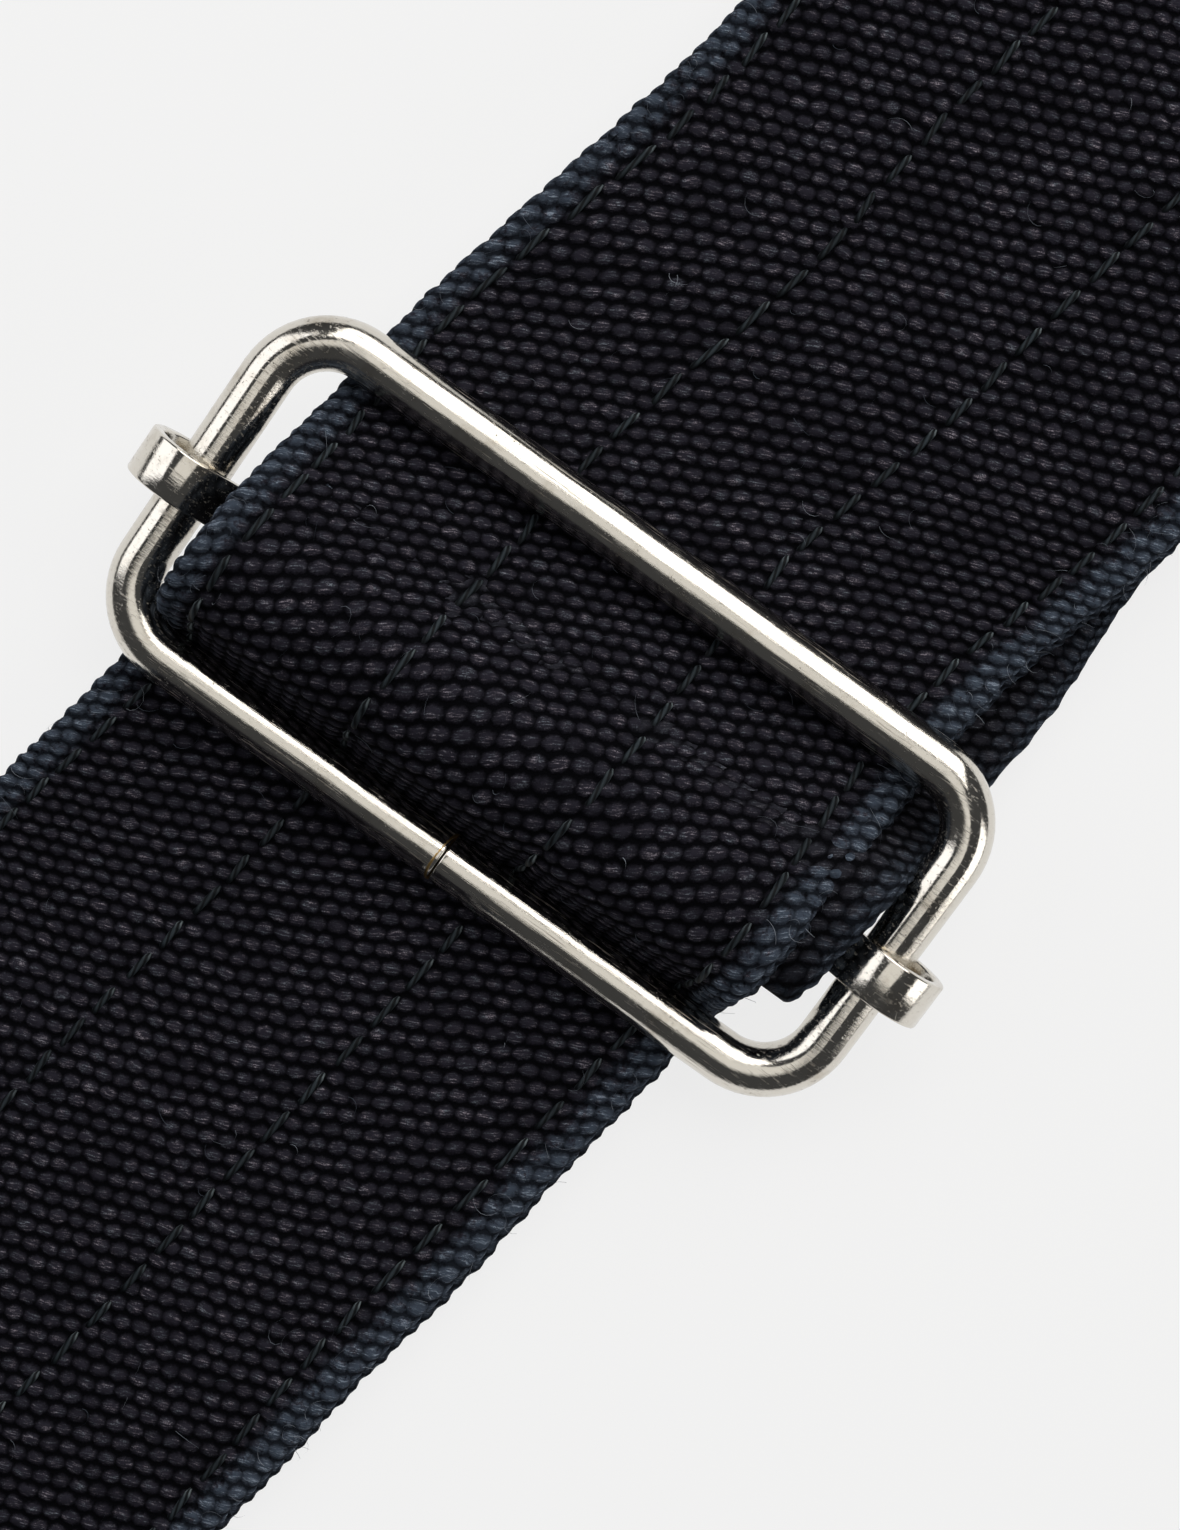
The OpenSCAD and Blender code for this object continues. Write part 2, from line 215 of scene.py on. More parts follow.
@dataclass
class Route:
    """Middle line of a strip, seen from the side, with its heading at every point."""

    points: Numbers
    headings: Numbers
    reach: Numbers = field(init=False)

    def __post_init__(self) -> None:
        """Measures the distance travelled to every point."""
        steps = np.hypot(*np.diff(self.points, axis=0).T)
        self.reach = np.concatenate([[0.0], np.cumsum(steps)])
        self.headings = np.unwrap(self.headings)

    @property
    def length(self) -> float:
        """Length of the whole route."""
        return float(self.reach[-1])

    @classmethod
    def belt(cls, bends: Sequence[Bend], step: float = 3.0) -> "Route":
        """Runs a strip round circles like a belt.

        Args:
            bends: The circles in order; the first and last are its ends.
            step: Largest turn between two points of a bend, in degrees.

        Returns:
            The route, with straight stretches between its bends.
        """
        headings = []
        for a, b in zip(bends[:-1], bends[1:]):
            dx, dz = b.x - a.x, b.z - a.z
            headings.append(math.atan2(dz, dx) - math.asin((b.signed - a.signed) / math.hypot(dx, dz)))
        points, angles = [(bends[0].x, bends[0].z)], [headings[0]]
        for bend, come, go in zip(bends[1:-1], headings[:-1], headings[1:]):
            sweep = (go - come) * bend.side.value % (2 * math.pi)
            sweep = 0.0 if sweep > 6.2 else sweep * bend.side.value
            count = max(1, math.ceil(abs(math.degrees(sweep)) / step))
            for i in range(count + 1):
                a = come + sweep * i / count
                points.append((bend.x + bend.signed * math.sin(a), bend.z - bend.signed * math.cos(a)))
                angles.append(a)
        points.append((bends[-1].x, bends[-1].z))
        angles.append(headings[-1])
        return cls(np.array(points), np.array(angles))

    @classmethod
    def through(cls, points: Numbers) -> "Route":
        """Makes a smooth route from close points."""
        d = np.gradient(points, axis=0)
        return cls(points, np.arctan2(d[:, 1], d[:, 0]))

    def then(self, other: "Route") -> "Route":
        """This route followed by one that starts where it ends."""
        turn = round((self.headings[-1] - other.headings[0]) / (2 * math.pi)) * 2 * math.pi
        return Route(np.concatenate([self.points, other.points[1:]]),
                     np.concatenate([self.headings, other.headings[1:] + turn]))

    def at(self, s: Numbers) -> tuple[Numbers, Numbers, Numbers]:
        """Place and heading after a distance travelled.

        Args:
            s: Distances along the route.

        Returns:
            Positions along X and Z, and headings in radians.
        """
        return (np.interp(s, self.reach, self.points[:, 0]), np.interp(s, self.reach, self.points[:, 1]),
                np.interp(s, self.reach, self.headings))

    def distance_to_x(self, x: float, start: float, end: float) -> float:
        """Distance at which the route passes a place along the strap.

        Args:
            x: The place along the strap.
            start: Distance from which to look.
            end: Distance up to which to look.

        Returns:
            The distance of the first point nearest to the place.
        """
        s = np.linspace(start, end, 4000)
        return float(s[int(np.argmin(np.abs(self.at(s)[0] - x)))])


def laid(u: float, w: float) -> tuple[float, float]:
    """Place in a section along the strap of a point on the tilted slider.

    Args:
        u: Distance along the slider's side wires, from its middle.
        w: Height over the wires' middle plane.

    Returns:
        Its X and Z.
    """
    c, s = math.cos(SIZES.tilt), math.sin(SIZES.tilt)
    return (u * c - w * s) / math.cos(SIZES.turn), SIZES.frame_z + u * s + w * c


@dataclass
class StrapRoutes:
    """The strap's whole way: roll, run, slider, ring and sewn end."""

    pass_start: float = -46.0
    pass_end: float = 40.0
    landing_x: float = 24.0
    landing_r: float = 40.0
    shoulder_r: float = 4.3
    tail_r: float = 3.4
    tab_grip: float = 28.0

    def roll_points(self) -> Numbers:
        """Two arms wound beside each other, which meet in an S at the roll's middle."""
        z = SIZES
        turn = 360 * z.roll_turns
        first = 270 - turn
        core = z.roll_core_r / 2

        def polar(r: Numbers, a: Numbers) -> Numbers:
            """Points at radius r and angle a in degrees."""
            return np.stack([r * np.cos(np.radians(a)), r * np.sin(np.radians(a))], axis=1)

        near = np.arange(0, turn + 1, 4.0)
        far = np.arange(0, turn + 91, 4.0)
        middle = polar(np.array([core]), np.array([float(first)]))[0]
        near_arm = polar(z.roll_core_r + z.roll_pitch * near / 360, first + near)
        far_arm = polar(z.roll_core_r + z.roll_pitch * far / 360, first + 180 + far)[::-1]
        far_half = polar(np.full(22, core), first + np.linspace(172, 8, 22)) - middle
        near_half = polar(np.full(22, core), first + np.linspace(180, 352, 22)) + middle
        arms = np.concatenate([far_arm, far_half, near_half, near_arm])
        return arms + (-z.roll_x, z.roll_end_r + z.half_t)

    def long_run(self) -> Route:
        """From the front tab through the roll to the straight stretch before the slider."""
        z = SIZES
        roll = self.roll_points()
        rise_x = roll[0, 0] - z.roll_end_r
        foot = Route.belt([
            Bend(z.front_end_x, z.leather_t + z.half_t),
            Bend(z.front_end_x + self.tab_grip, z.leather_t + z.half_t - 20, 20, Side.RIGHT),
            Bend(z.front_end_x + self.tab_grip + 15, z.half_t + 20, 20),
            Bend(rise_x, z.half_t)])
        rise = np.radians(np.arange(4, 88, 4))
        up = np.stack([rise_x + z.roll_end_r * np.sin(rise),
                       z.roll_end_r + z.half_t - z.roll_end_r * np.cos(rise)], axis=1)
        out = np.array([[x, z.half_t] for x in np.linspace(-z.roll_x + 6, self.pass_start, 60)])
        points = np.concatenate([foot.points[-1:], up, roll, out])
        return foot.then(Route.through(points))

    def through_slider(self) -> Route:
        """Under the lower bar, over the centre bar and the sewn end, under the upper bar."""
        z = SIZES
        return Route.belt([
            Bend(self.pass_start, z.half_t),
            Bend(-z.bar_reach, z.lower_bar_z, z.wrap_r),
            Bend(*self.fold(), z.pocket_r + 0.85 * z.pitch, Side.RIGHT),
            Bend(z.bar_reach, z.upper_bar_z, z.wrap_r),
            Bend(self.landing_x, z.half_t + self.landing_r, self.landing_r - z.pitch),
            Bend(self.pass_end, z.half_t + z.pitch)])

    def ring_loop(self) -> Route:
        """On to the ring, round it and back underneath."""
        z = SIZES
        return Route.belt([
            Bend(self.pass_end, z.half_t + z.pitch),
            Bend(z.ring_x - 32, z.half_t + z.pitch + 30, 30),
            Bend(z.ring_x, z.ring_z, z.wrap_r, Side.RIGHT),
            Bend(self.pass_end, z.half_t, 0, Side.RIGHT)])

    def sewn_end(self) -> Route:
        """Up under the upper bar, round the centre bar's plate and back under itself."""
        z = SIZES
        tail = laid(z.bar_u + z.bar_w / 2 - 1.1, z.bar_lift - z.pocket_r - self.tail_r)
        shoulder, bar = self.shoulder(), (z.bar_reach, z.upper_bar_z)
        dx, dz = bar[0] - shoulder[0], bar[1] - shoulder[1]
        slope = math.atan2(dz, dx) - math.asin((z.wrap_r + z.pitch + self.shoulder_r) / math.hypot(dx, dz))
        n = (-math.sin(slope), math.cos(slope))
        end = (tail[0] + self.tail_r * n[0] + 3.2 * n[1], tail[1] + self.tail_r * n[1] - 3.2 * n[0])
        return Route.belt([
            Bend(self.pass_end, z.half_t),
            Bend(self.landing_x, z.half_t + self.landing_r, self.landing_r, Side.RIGHT),
            Bend(*bar, z.wrap_r + z.pitch, Side.RIGHT),
            Bend(*shoulder, self.shoulder_r),
            Bend(*self.fold(), z.pocket_r),
            Bend(*tail, self.tail_r, Side.RIGHT),
            Bend(*end)])

    def fold(self) -> tuple[float, float]:
        """Middle of the strap's fold round the plate's front edge."""
        return laid(SIZES.bar_u - SIZES.bar_w / 2 + 0.45, SIZES.bar_lift)

    def shoulder(self) -> tuple[float, float]:
        """Middle of the strap's bend over the plate's tail edge."""
        return laid(SIZES.bar_u + SIZES.bar_w / 2 - 0.5, SIZES.bar_lift + SIZES.pocket_r - self.shoulder_r)


# --------------------------------------------------------------------------- cloth

class Ripple:
    """Smooth, repeatable unevenness made of a few sine waves."""

    def __init__(self, seed: int, size: float, waves: int = 5) -> None:
        """Chooses the waves.

        Args:
            seed: Number that fixes the waves.
            size: Rough distance from crest to crest.
            waves: How many waves are added.
        """
        chance = np.random.default_rng(seed)
        self.a = chance.uniform(-1, 1, waves) * 2 * math.pi / size
        self.b = chance.uniform(-1, 1, waves) * 2 * math.pi / size
        self.phase = chance.uniform(0, 2 * math.pi, waves)

    def __call__(self, s: Numbers, y: Numbers | float = 0.0) -> Numbers:
        """Unevenness, from -1 to 1, at distance s along the strap and y across it."""
        total = sum(np.sin(a * s + b * y + p) for a, b, p in zip(self.a, self.b, self.phase))
        return total / len(self.phase)


@dataclass
class Weave:
    """Plain weave of heavy yarn and the relief that it gives the cloth."""

    warp_pitch: float = 1.25
    weft_pitch: float = 0.71
    height: float = 0.24
    long_reach: float = 0.82
    short_reach: float = 0.60
    lean: float = math.radians(30)
    slant: float = -0.02
    extra_slant: float = 0.03

    def yarns(self, s: Numbers, y: Numbers, u: Numbers) -> tuple[Numbers, Numbers]:
        """Coordinates that follow the yarns as they wander.

        Args:
            s: Distance along the strap.
            y: Distance across it.
            u: Distance round the ply's section.

        Returns:
            Distance across and along the strap, counted in straight yarns.
        """
        lean = self.slant + self.extra_slant * np.clip((s - WAY.high_bar) / 60, 0, 1)
        across = u + 0.28 * DRIFT(s, y) + 0.12 * TREMBLE(s, y) + 0.10 * JITTER(s, y)
        along = s + lean * y + 0.35 * DRIFT(s + 400, y) + 0.12 * TREMBLE(s + 400, y) + 0.09 * JITTER(y, s)
        return across, along

    def relief(self, across: Numbers, along: Numbers) -> Numbers:
        """Height of the yarns' ovals.

        Args:
            across: Distance across the yarns.
            along: Distance along them.

        Returns:
            Heights from 0 in the gaps to 1, and a little over it on the fullest yarns.
        """
        a, b = across / self.warp_pitch, along / self.weft_pitch
        height = np.zeros_like(a)
        for centre in (0.5, 1.5):
            da = a - centre - 2 * np.floor((a - centre + 1) / 2)
            db = b - centre - 2 * np.floor((b - centre + 1) / 2)
            luck = np.modf(np.abs(np.sin((a - da) * 12.9898 + (b - db) * 78.233)) * 43758.5453)[0]
            wide, long = da * self.warp_pitch, db * self.weft_pitch
            u = (wide * math.cos(self.lean) + long * math.sin(self.lean)) / self.long_reach
            v = (long * math.cos(self.lean) - wide * math.sin(self.lean)) / self.short_reach
            oval = np.maximum(0, 1 - u ** 2 - v ** 2) ** 0.7
            height = np.maximum(height, oval * (0.8 + 0.35 * luck))
        return height


@dataclass(frozen=True)
class SeamRow:
    """One lengthwise row of stitches."""

    y: float
    seed: int
    pitch: float = 3.7
    sway: float = 0.35

    def middle(self, s: Numbers) -> Numbers:
        """Place of the row across the strap."""
        wave = np.sin(s / 9.5 + self.seed * 2.1) + 0.6 * np.sin(s / 5.1 + self.seed)
        return self.y + self.sway * 0.7 * wave

    def hole_phase(self, s: Numbers) -> Numbers:
        """1 at a needle hole and -1 midway between two."""
        return np.cos(2 * math.pi * (s - self.seed * 1.3) / self.pitch)


ROWS = [SeamRow(22.1, 1), SeamRow(8.0, 2), SeamRow(-7.5, 3), SeamRow(-21.5, 4)]
DRIFT = Ripple(3, 26)
TREMBLE = Ripple(5, 6)
BILLOW = Ripple(8, 17)
FRAY = Ripple(11, 3.1)
JITTER = Ripple(13, 2.4)
WEAVE = Weave()


class Way:
    """The strap's route with the distances of its landmarks."""

    square_x = 19.0

    def __init__(self) -> None:
        """Joins the stretches and finds the landmarks."""
        routes = StrapRoutes()
        run, slider = routes.long_run(), routes.through_slider()
        ring, sewn = routes.ring_loop(), routes.sewn_end()
        self.route = run.then(slider).then(ring).then(sewn)
        into_slider = run.length
        into_ring = into_slider + slider.length
        into_sewn = into_ring + ring.length
        find = self.route.distance_to_x
        self.roll_end = find(-SIZES.roll_x + 12, into_slider - 110, into_slider)
        self.low_bar = find(-SIZES.bar_reach, into_slider, into_ring)
        self.high_bar = find(SIZES.bar_reach, into_slider, into_ring)
        self.ring_turn = find(SIZES.ring_x + SIZES.wrap_r, into_ring, into_sewn)
        self.under_bar = find(SIZES.bar_reach, into_sewn, self.route.length)
        self.seen_start = find(-82, into_slider - 60, into_slider)
        self.seen_end = find(84, into_ring, self.ring_turn)
        self.end = self.route.length

    def draw(self, x: Numbers) -> Numbers:
        """How far the cloth is drawn oblique.

        Args:
            x: Places along the strap.

        Returns:
            Shares from 1 between the slider's bars to 0 beyond its ends.
        """
        start, end, square = -StrapRoutes.pass_start, StrapRoutes.pass_end, self.square_x
        rise = np.where(x < 0, (x + start) / (start - square), (end - x) / (end - square))
        rise = np.clip(rise, 0, 1)
        return rise * rise * (3 - 2 * rise)

    def place(self, s: Numbers, y: Numbers, n: Numbers) -> Numbers:
        """Turns cloth coordinates into the frame's.

        Args:
            s: Distance along the strap.
            y: Distance across it.
            n: Height over its middle, towards the face.

        Returns:
            Points in metres, one row each.
        """
        x, z, heading = self.route.at(s)
        x = x - n * np.sin(heading)
        z = z + n * np.cos(heading)
        share = self.draw(x)
        over = np.clip((x + 9) / 24, 0, 1)
        shift = np.where(s < self.ring_turn, SIZES.pass_shift * over, SIZES.loop_shift)
        side = y + shift * share
        x = x - (side - SLIDER_Y) * math.tan(SIZES.turn) * share
        return np.stack([x + SLIDER_X, side, z], axis=-1) * MM


WAY = Way()


# --------------------------------------------------------------------------- meshes

@dataclass
class Skin:
    """What a swept mesh carries besides its points."""

    points: Numbers
    uv: Numbers
    wear: Numbers | None = None


def finished(bm: bmesh.types.BMesh, name: str, smooth: bool = True) -> bpy.types.Object:
    """Turns a bmesh into an object at the origin.

    Args:
        bm: The finished bmesh, which is freed.
        name: The object's name.
        smooth: True for smooth shading.

    Returns:
        The new object, linked to the scene.
    """
    mesh = bpy.data.meshes.new(name)
    bm.to_mesh(mesh)
    bm.free()
    mesh.polygons.foreach_set("use_smooth", np.full(len(mesh.polygons), smooth))
    obj = bpy.data.objects.new(name, mesh)
    bpy.context.scene.collection.objects.link(obj)
    return obj


def bevel(bm: bmesh.types.BMesh, edges: list[bmesh.types.BMEdge], offset: float, segments: int) -> None:
    """Rounds the edges of a bmesh."""
    bmesh.ops.bevel(bm, geom=edges, offset=offset, offset_type="OFFSET", segments=segments, profile=0.5,
                    affect="EDGES", material=-1)


def drawn(bm: bmesh.types.BMesh, edges: list[bmesh.types.BMEdge], by: Vector,
          steps: int) -> list[bmesh.types.BMEdge]:
    """Draws open edges on in a straight line.

    Args:
        bm: The bmesh.
        edges: Its open edges.
        by: How far they go.
        steps: Faces along the stretch.

    Returns:
        The new open edges.
    """
    for _ in range(steps):
        made = bmesh.ops.extrude_edge_only(bm, edges=edges)["geom"]
        verts = [g for g in made if isinstance(g, bmesh.types.BMVert)]
        edges = [g for g in made if isinstance(g, bmesh.types.BMEdge)]
        edges = [e for e in edges if all(v in verts for v in e.verts)]
        bmesh.ops.translate(bm, verts=verts, vec=by / steps)
    return edges


def swung(bm: bmesh.types.BMesh, edges: list[bmesh.types.BMEdge], centre: Vector, axis: Vector,
          angle: float, steps: int) -> list[bmesh.types.BMEdge]:
    """Bends open edges round an axis.

    Args:
        bm: The bmesh.
        edges: Its open edges.
        centre: A point on the axis.
        axis: The axis.
        angle: The bend, in radians.
        steps: Faces along the bend.

    Returns:
        The new open edges.
    """
    verts = list(dict.fromkeys(v for e in edges for v in e.verts))
    made = bmesh.ops.spin(bm, geom=verts + edges, cent=centre, axis=axis, angle=angle, steps=steps,
                          use_duplicate=False)["geom_last"]
    return [g for g in made if isinstance(g, bmesh.types.BMEdge)]


def swept(name: str, columns: int, rows: int, copies: int,
          skin: Callable[[Numbers, Numbers, Numbers], Skin]) -> bpy.types.Object:
    """Rolls grids into closed tubes or sleeves.

    Args:
        name: The object's name.
        columns: Faces round the section.
        rows: Faces along it.
        copies: How many tubes the object has.
        skin: Gives points for copy, column and row numbers.

    Returns:
        One object with all the tubes, their seams merged and ends closed.
    """
    template = bmesh.new()
    bmesh.ops.create_grid(template, x_segments=columns, y_segments=rows, size=1)
    mesh = bpy.data.meshes.new(name)
    template.to_mesh(mesh)
    template.free()
    per_copy = len(mesh.vertices)
    flat = np.zeros(per_copy * 3)
    mesh.vertices.foreach_get("co", flat)
    flat = flat.reshape(-1, 3)
    column = np.tile(np.rint((flat[:, 0] + 1) / 2 * columns), copies).astype(int)
    row = np.tile(np.rint((flat[:, 1] + 1) / 2 * rows), copies).astype(int)
    copy = np.repeat(np.arange(copies), per_copy)
    bm = bmesh.new()
    for _ in range(copies):
        bm.from_mesh(mesh)
    bm.to_mesh(mesh)
    bm.free()
    made = skin(copy, column, row)
    mesh.vertices.foreach_set("co", made.points.astype(np.float32).ravel())
    corner = np.zeros(len(mesh.loops), dtype=np.int32)
    mesh.loops.foreach_get("vertex_index", corner)
    layer = mesh.uv_layers.new(name="yarn")
    layer.data.foreach_set("uv", made.uv[corner].astype(np.float32).ravel())
    if made.wear is not None:
        wear = mesh.attributes.new("wear", "FLOAT", "POINT")
        wear.data.foreach_set("value", made.wear.astype(np.float32))
    bm = bmesh.new()
    bm.from_mesh(mesh)
    bpy.data.meshes.remove(mesh)
    bmesh.ops.remove_doubles(bm, verts=bm.verts, dist=1e-7)
    rim = [e for e in bm.edges if e.is_boundary]
    for edge in rim:
        edge.smooth = False
    bmesh.ops.holes_fill(bm, edges=rim, sides=0)
    bmesh.ops.recalc_face_normals(bm, faces=bm.faces)
    return finished(bm, name)


@dataclass
class PlySection:
    """Closed outline of one ply, seen along the strap, from its +Y edge over the top."""

    low: float
    high: float
    top: int = 140
    edge: int = 10
    bottom: int = 22

    @property
    def columns(self) -> int:
        """Faces round the section."""
        return self.top + 2 * self.edge + self.bottom

    @property
    def radius(self) -> float:
        """Radius of the ply's folded edges."""
        return (self.high - self.low) / 2

    def outline(self, column: Numbers) -> tuple[Numbers, Numbers, Numbers]:
        """Shape of the section at its columns.

        Args:
            column: Column numbers, from 0 to columns.

        Returns:
            Share of the flat part's half width, and the outward direction across and up.
        """
        edge_end = self.top + self.edge
        bottom_end = edge_end + self.bottom
        stops = [0, self.top, edge_end, bottom_end, self.columns]
        share = np.interp(column, stops, [1, -1, -1, 1, 1])
        angle = np.radians(np.interp(column, stops, [90, 90, 270, 270, 450]))
        return share, np.cos(angle), np.sin(angle)


@dataclass
class Ply:
    """One ply of the strap over one stretch of its way."""

    name: str
    start: float
    end: float
    section: PlySection
    seen: tuple[float, float] | None = None
    fine_step: float = 0.175
    coarse_step: float = 1.1
    plus_edge: float = 25.0
    minus_edge: float = 25.0
    face: bool = True

    def stations(self) -> Numbers:
        """Distances of the rows, close together where the ply is seen near."""
        marks = [self.start]
        limits = self.seen or (self.end + 1, self.end + 2)
        while marks[-1] < self.end:
            s = marks[-1]
            marks.append(s + (self.fine_step if limits[0] <= s < limits[1] else self.coarse_step))
        marks = np.array(marks)
        return self.start + (marks - self.start) * (self.end - self.start) / (marks[-1] - self.start)

    def edges(self, s: Numbers) -> tuple[Numbers, Numbers]:
        """Half widths of the ply, with the lumps of its edge yarns.

        Args:
            s: Distances along the strap.

        Returns:
            Half widths towards +Y and towards -Y.
        """
        lump = np.sin(math.pi * (s + 0.5 * FRAY(s, 3.0)) / (2 * WEAVE.weft_pitch)) ** 2
        yarn_end = (0.07 + 0.06 * JITTER(s, 7.0)) * lump
        return (self.plus_edge + 0.20 * BILLOW(s, 31.0) + 0.12 * FRAY(s, 5.0) + yarn_end,
                self.minus_edge + 0.26 * BILLOW(s, -60.0) + 0.16 * FRAY(s, -9.0) + yarn_end)

    def skin(self, copy: Numbers, column: Numbers, row: Numbers) -> Skin:
        """Places the ply's points, with its weave, puckered rows and soft waves.

        Args:
            copy: Number of the tube, for every point; not used.
            column: Number of the column round it.
            row: Number of the row along it.

        Returns:
            The points with their yarn coordinates.
        """
        s = self.stations()[row]
        share, out_y, out_n = self.section.outline(column)
        r = self.section.radius
        plus, minus = self.edges(s)
        half = np.where(share > 0, plus, minus) - r
        y = share * half + out_y * r
        n = (self.section.high + self.section.low) / 2 + out_n * r
        first, last = self.section.top + self.section.edge, self.section.columns - self.section.edge
        under = (column >= first) & (column <= last)
        outer = np.where(under, 0.0, 1.0)
        across, along = WEAVE.yarns(s, y, self.round_section(column, y))
        relief = self.fineness(s) * outer * WEAVE.height
        if self.face:
            rise = relief * (WEAVE.relief(across, along) - 0.55) + outer * self.pucker(s, y)
        else:
            rise = relief * np.sin(math.pi * s / WEAVE.weft_pitch) * 0.3
        y, n = y + out_y * rise, n + out_n * rise
        n = n + 0.10 * BILLOW(s, y)
        edge_gap = np.minimum(plus - y, minus + y)
        wear = 1.15 / (1 + np.exp((edge_gap - 1.9) / 0.45)) * np.where(under, 0.4, 1.0)
        wear = wear * np.where(y < 0, 1.0, 0.72) * (0.9 + 0.35 * FRAY(s * 0.6, y * 0.3))
        return Skin(WAY.place(s, y, n), np.stack([across, along], axis=1), np.clip(wear, 0, 1))

    def round_section(self, column: Numbers, y: Numbers) -> Numbers:
        """Distance round the ply's section.

        Args:
            column: Column numbers.
            y: Places across the strap.

        Returns:
            Distances from the +Y edge, over the top, round the -Y edge and back underneath.
        """
        part, width = self.section, self.plus_edge + self.minus_edge
        half_round = math.pi * part.radius
        far_edge = width - part.radius + (column - part.top) / part.edge * half_round
        underneath = width - part.radius + half_round + (y + self.minus_edge)
        near_edge = part.radius - (part.columns - column) / part.edge * half_round
        stretches = [column <= part.top, column < part.top + part.edge, column <= part.columns - part.edge]
        return np.select(stretches, [self.plus_edge - y, far_edge, underneath], near_edge)

    def fineness(self, s: Numbers) -> Numbers:
        """Share of the woven relief that the rows are close enough to carry.

        Args:
            s: Distances along the strap.

        Returns:
            Shares from 0 to 1, which fade out over a short stretch.
        """
        if not self.seen:
            return np.zeros_like(s)
        fade = 4.0
        fine = np.clip((s - self.seen[0]) / fade, 0, 1) * np.clip((self.seen[1] - s) / fade, 0, 1)
        fine = np.where((s < self.start + fade) & (self.seen[0] <= self.start), 1.0, fine)
        return np.where((s > self.end - fade) & (self.seen[1] >= self.end), 1.0, fine)

    def pucker(self, s: Numbers, y: Numbers) -> Numbers:
        """Sinking of the cloth along its rows of stitches, and its swell between them.

        Args:
            s: Distances along the strap.
            y: Distances across it.

        Returns:
            Heights, negative where the cloth sinks.
        """
        sink = np.zeros_like(s)
        for row in ROWS:
            off = y - row.middle(s)
            hole = 0.5 + 0.5 * row.hole_phase(s)
            sink -= 0.20 * np.exp(-(off / 1.3) ** 2) + 0.26 * hole ** 3 * np.exp(-(off / 0.55) ** 2)
        return sink + 0.16 * BILLOW(s * 1.3, y * 1.6)

    def build(self) -> bpy.types.Object:
        """Makes the ply as a closed sleeve."""
        rows = len(self.stations()) - 1
        return swept(self.name, self.section.columns, rows, 1, self.skin)


@dataclass
class StitchRun:
    """Rows of stitches over one stretch of the strap."""

    name: str
    start: float
    end: float
    thread_r: float = 0.27
    sunk: float = 0.27
    stitch_l: float = 2.95
    columns: int = 8
    rows: int = 8

    def starts(self) -> tuple[Numbers, Numbers]:
        """Distance and row number of every stitch in the stretch."""
        found, which = [], []
        for number, row in enumerate(ROWS):
            first = math.ceil((self.start - row.seed * 1.3) / row.pitch)
            last = math.floor((self.end - row.seed * 1.3 - self.stitch_l) / row.pitch)
            for k in range(first, last + 1):
                found.append(row.seed * 1.3 + k * row.pitch)
                which.append(number)
        return np.array(found), np.array(which)

    def skin(self, copy: Numbers, column: Numbers, row: Numbers) -> Skin:
        """Places the stitches: the far end stands proud, the near end dives into its hole.

        Args:
            copy: Number of the tube, for every point.
            column: Number of the column round it.
            row: Number of the row along it.

        Returns:
            The points with their yarn coordinates.
        """
        starts, which = self.starts()
        chance = np.random.default_rng(21)
        size = chance.uniform(0.92, 1.1, len(starts))
        lean = chance.uniform(-0.10, 0.10, len(starts)) + 0.05
        lift = chance.uniform(-0.05, 0.07, len(starts))
        tone = chance.uniform(0, 1, len(starts))
        t = row / self.rows
        angle = 2 * math.pi * column / self.columns
        length = self.stitch_l * size[copy]
        s = starts[copy] + 0.45 + t * length
        middle = np.zeros_like(s)
        for number, seam in enumerate(ROWS):
            middle = np.where(which[copy] == number, seam.middle(s), middle)
        body = np.clip(np.sin(math.pi * t) * 3.2 + 0.45, 0, 1)
        body = body * (0.86 + 0.14 * t)
        crest = -0.42 * np.clip(1 - t / 0.28, 0, 1) ** 2 - 0.25 * np.clip((t - 0.88) / 0.12, 0, 1) ** 2
        height = 0.14 + lift[copy] + 0.10 * t + crest
        ridge = 1 + 0.09 * np.cos(2 * angle + 2 * math.pi * 1.6 * t)
        r = self.thread_r * body * ridge
        y = middle + lean[copy] * (t - 0.5) * length + r * np.cos(angle)
        n = SIZES.half_t - self.sunk + height + 0.75 * r * np.sin(angle)
        uv = np.stack([column / self.columns + np.floor(tone[copy] * 50), t], axis=1)
        return Skin(WAY.place(s, y, n), uv)

    def build(self) -> bpy.types.Object:
        """Makes the stitches as one piece."""
        return swept(self.name, self.columns, self.rows, len(self.starts()[0]), self.skin)


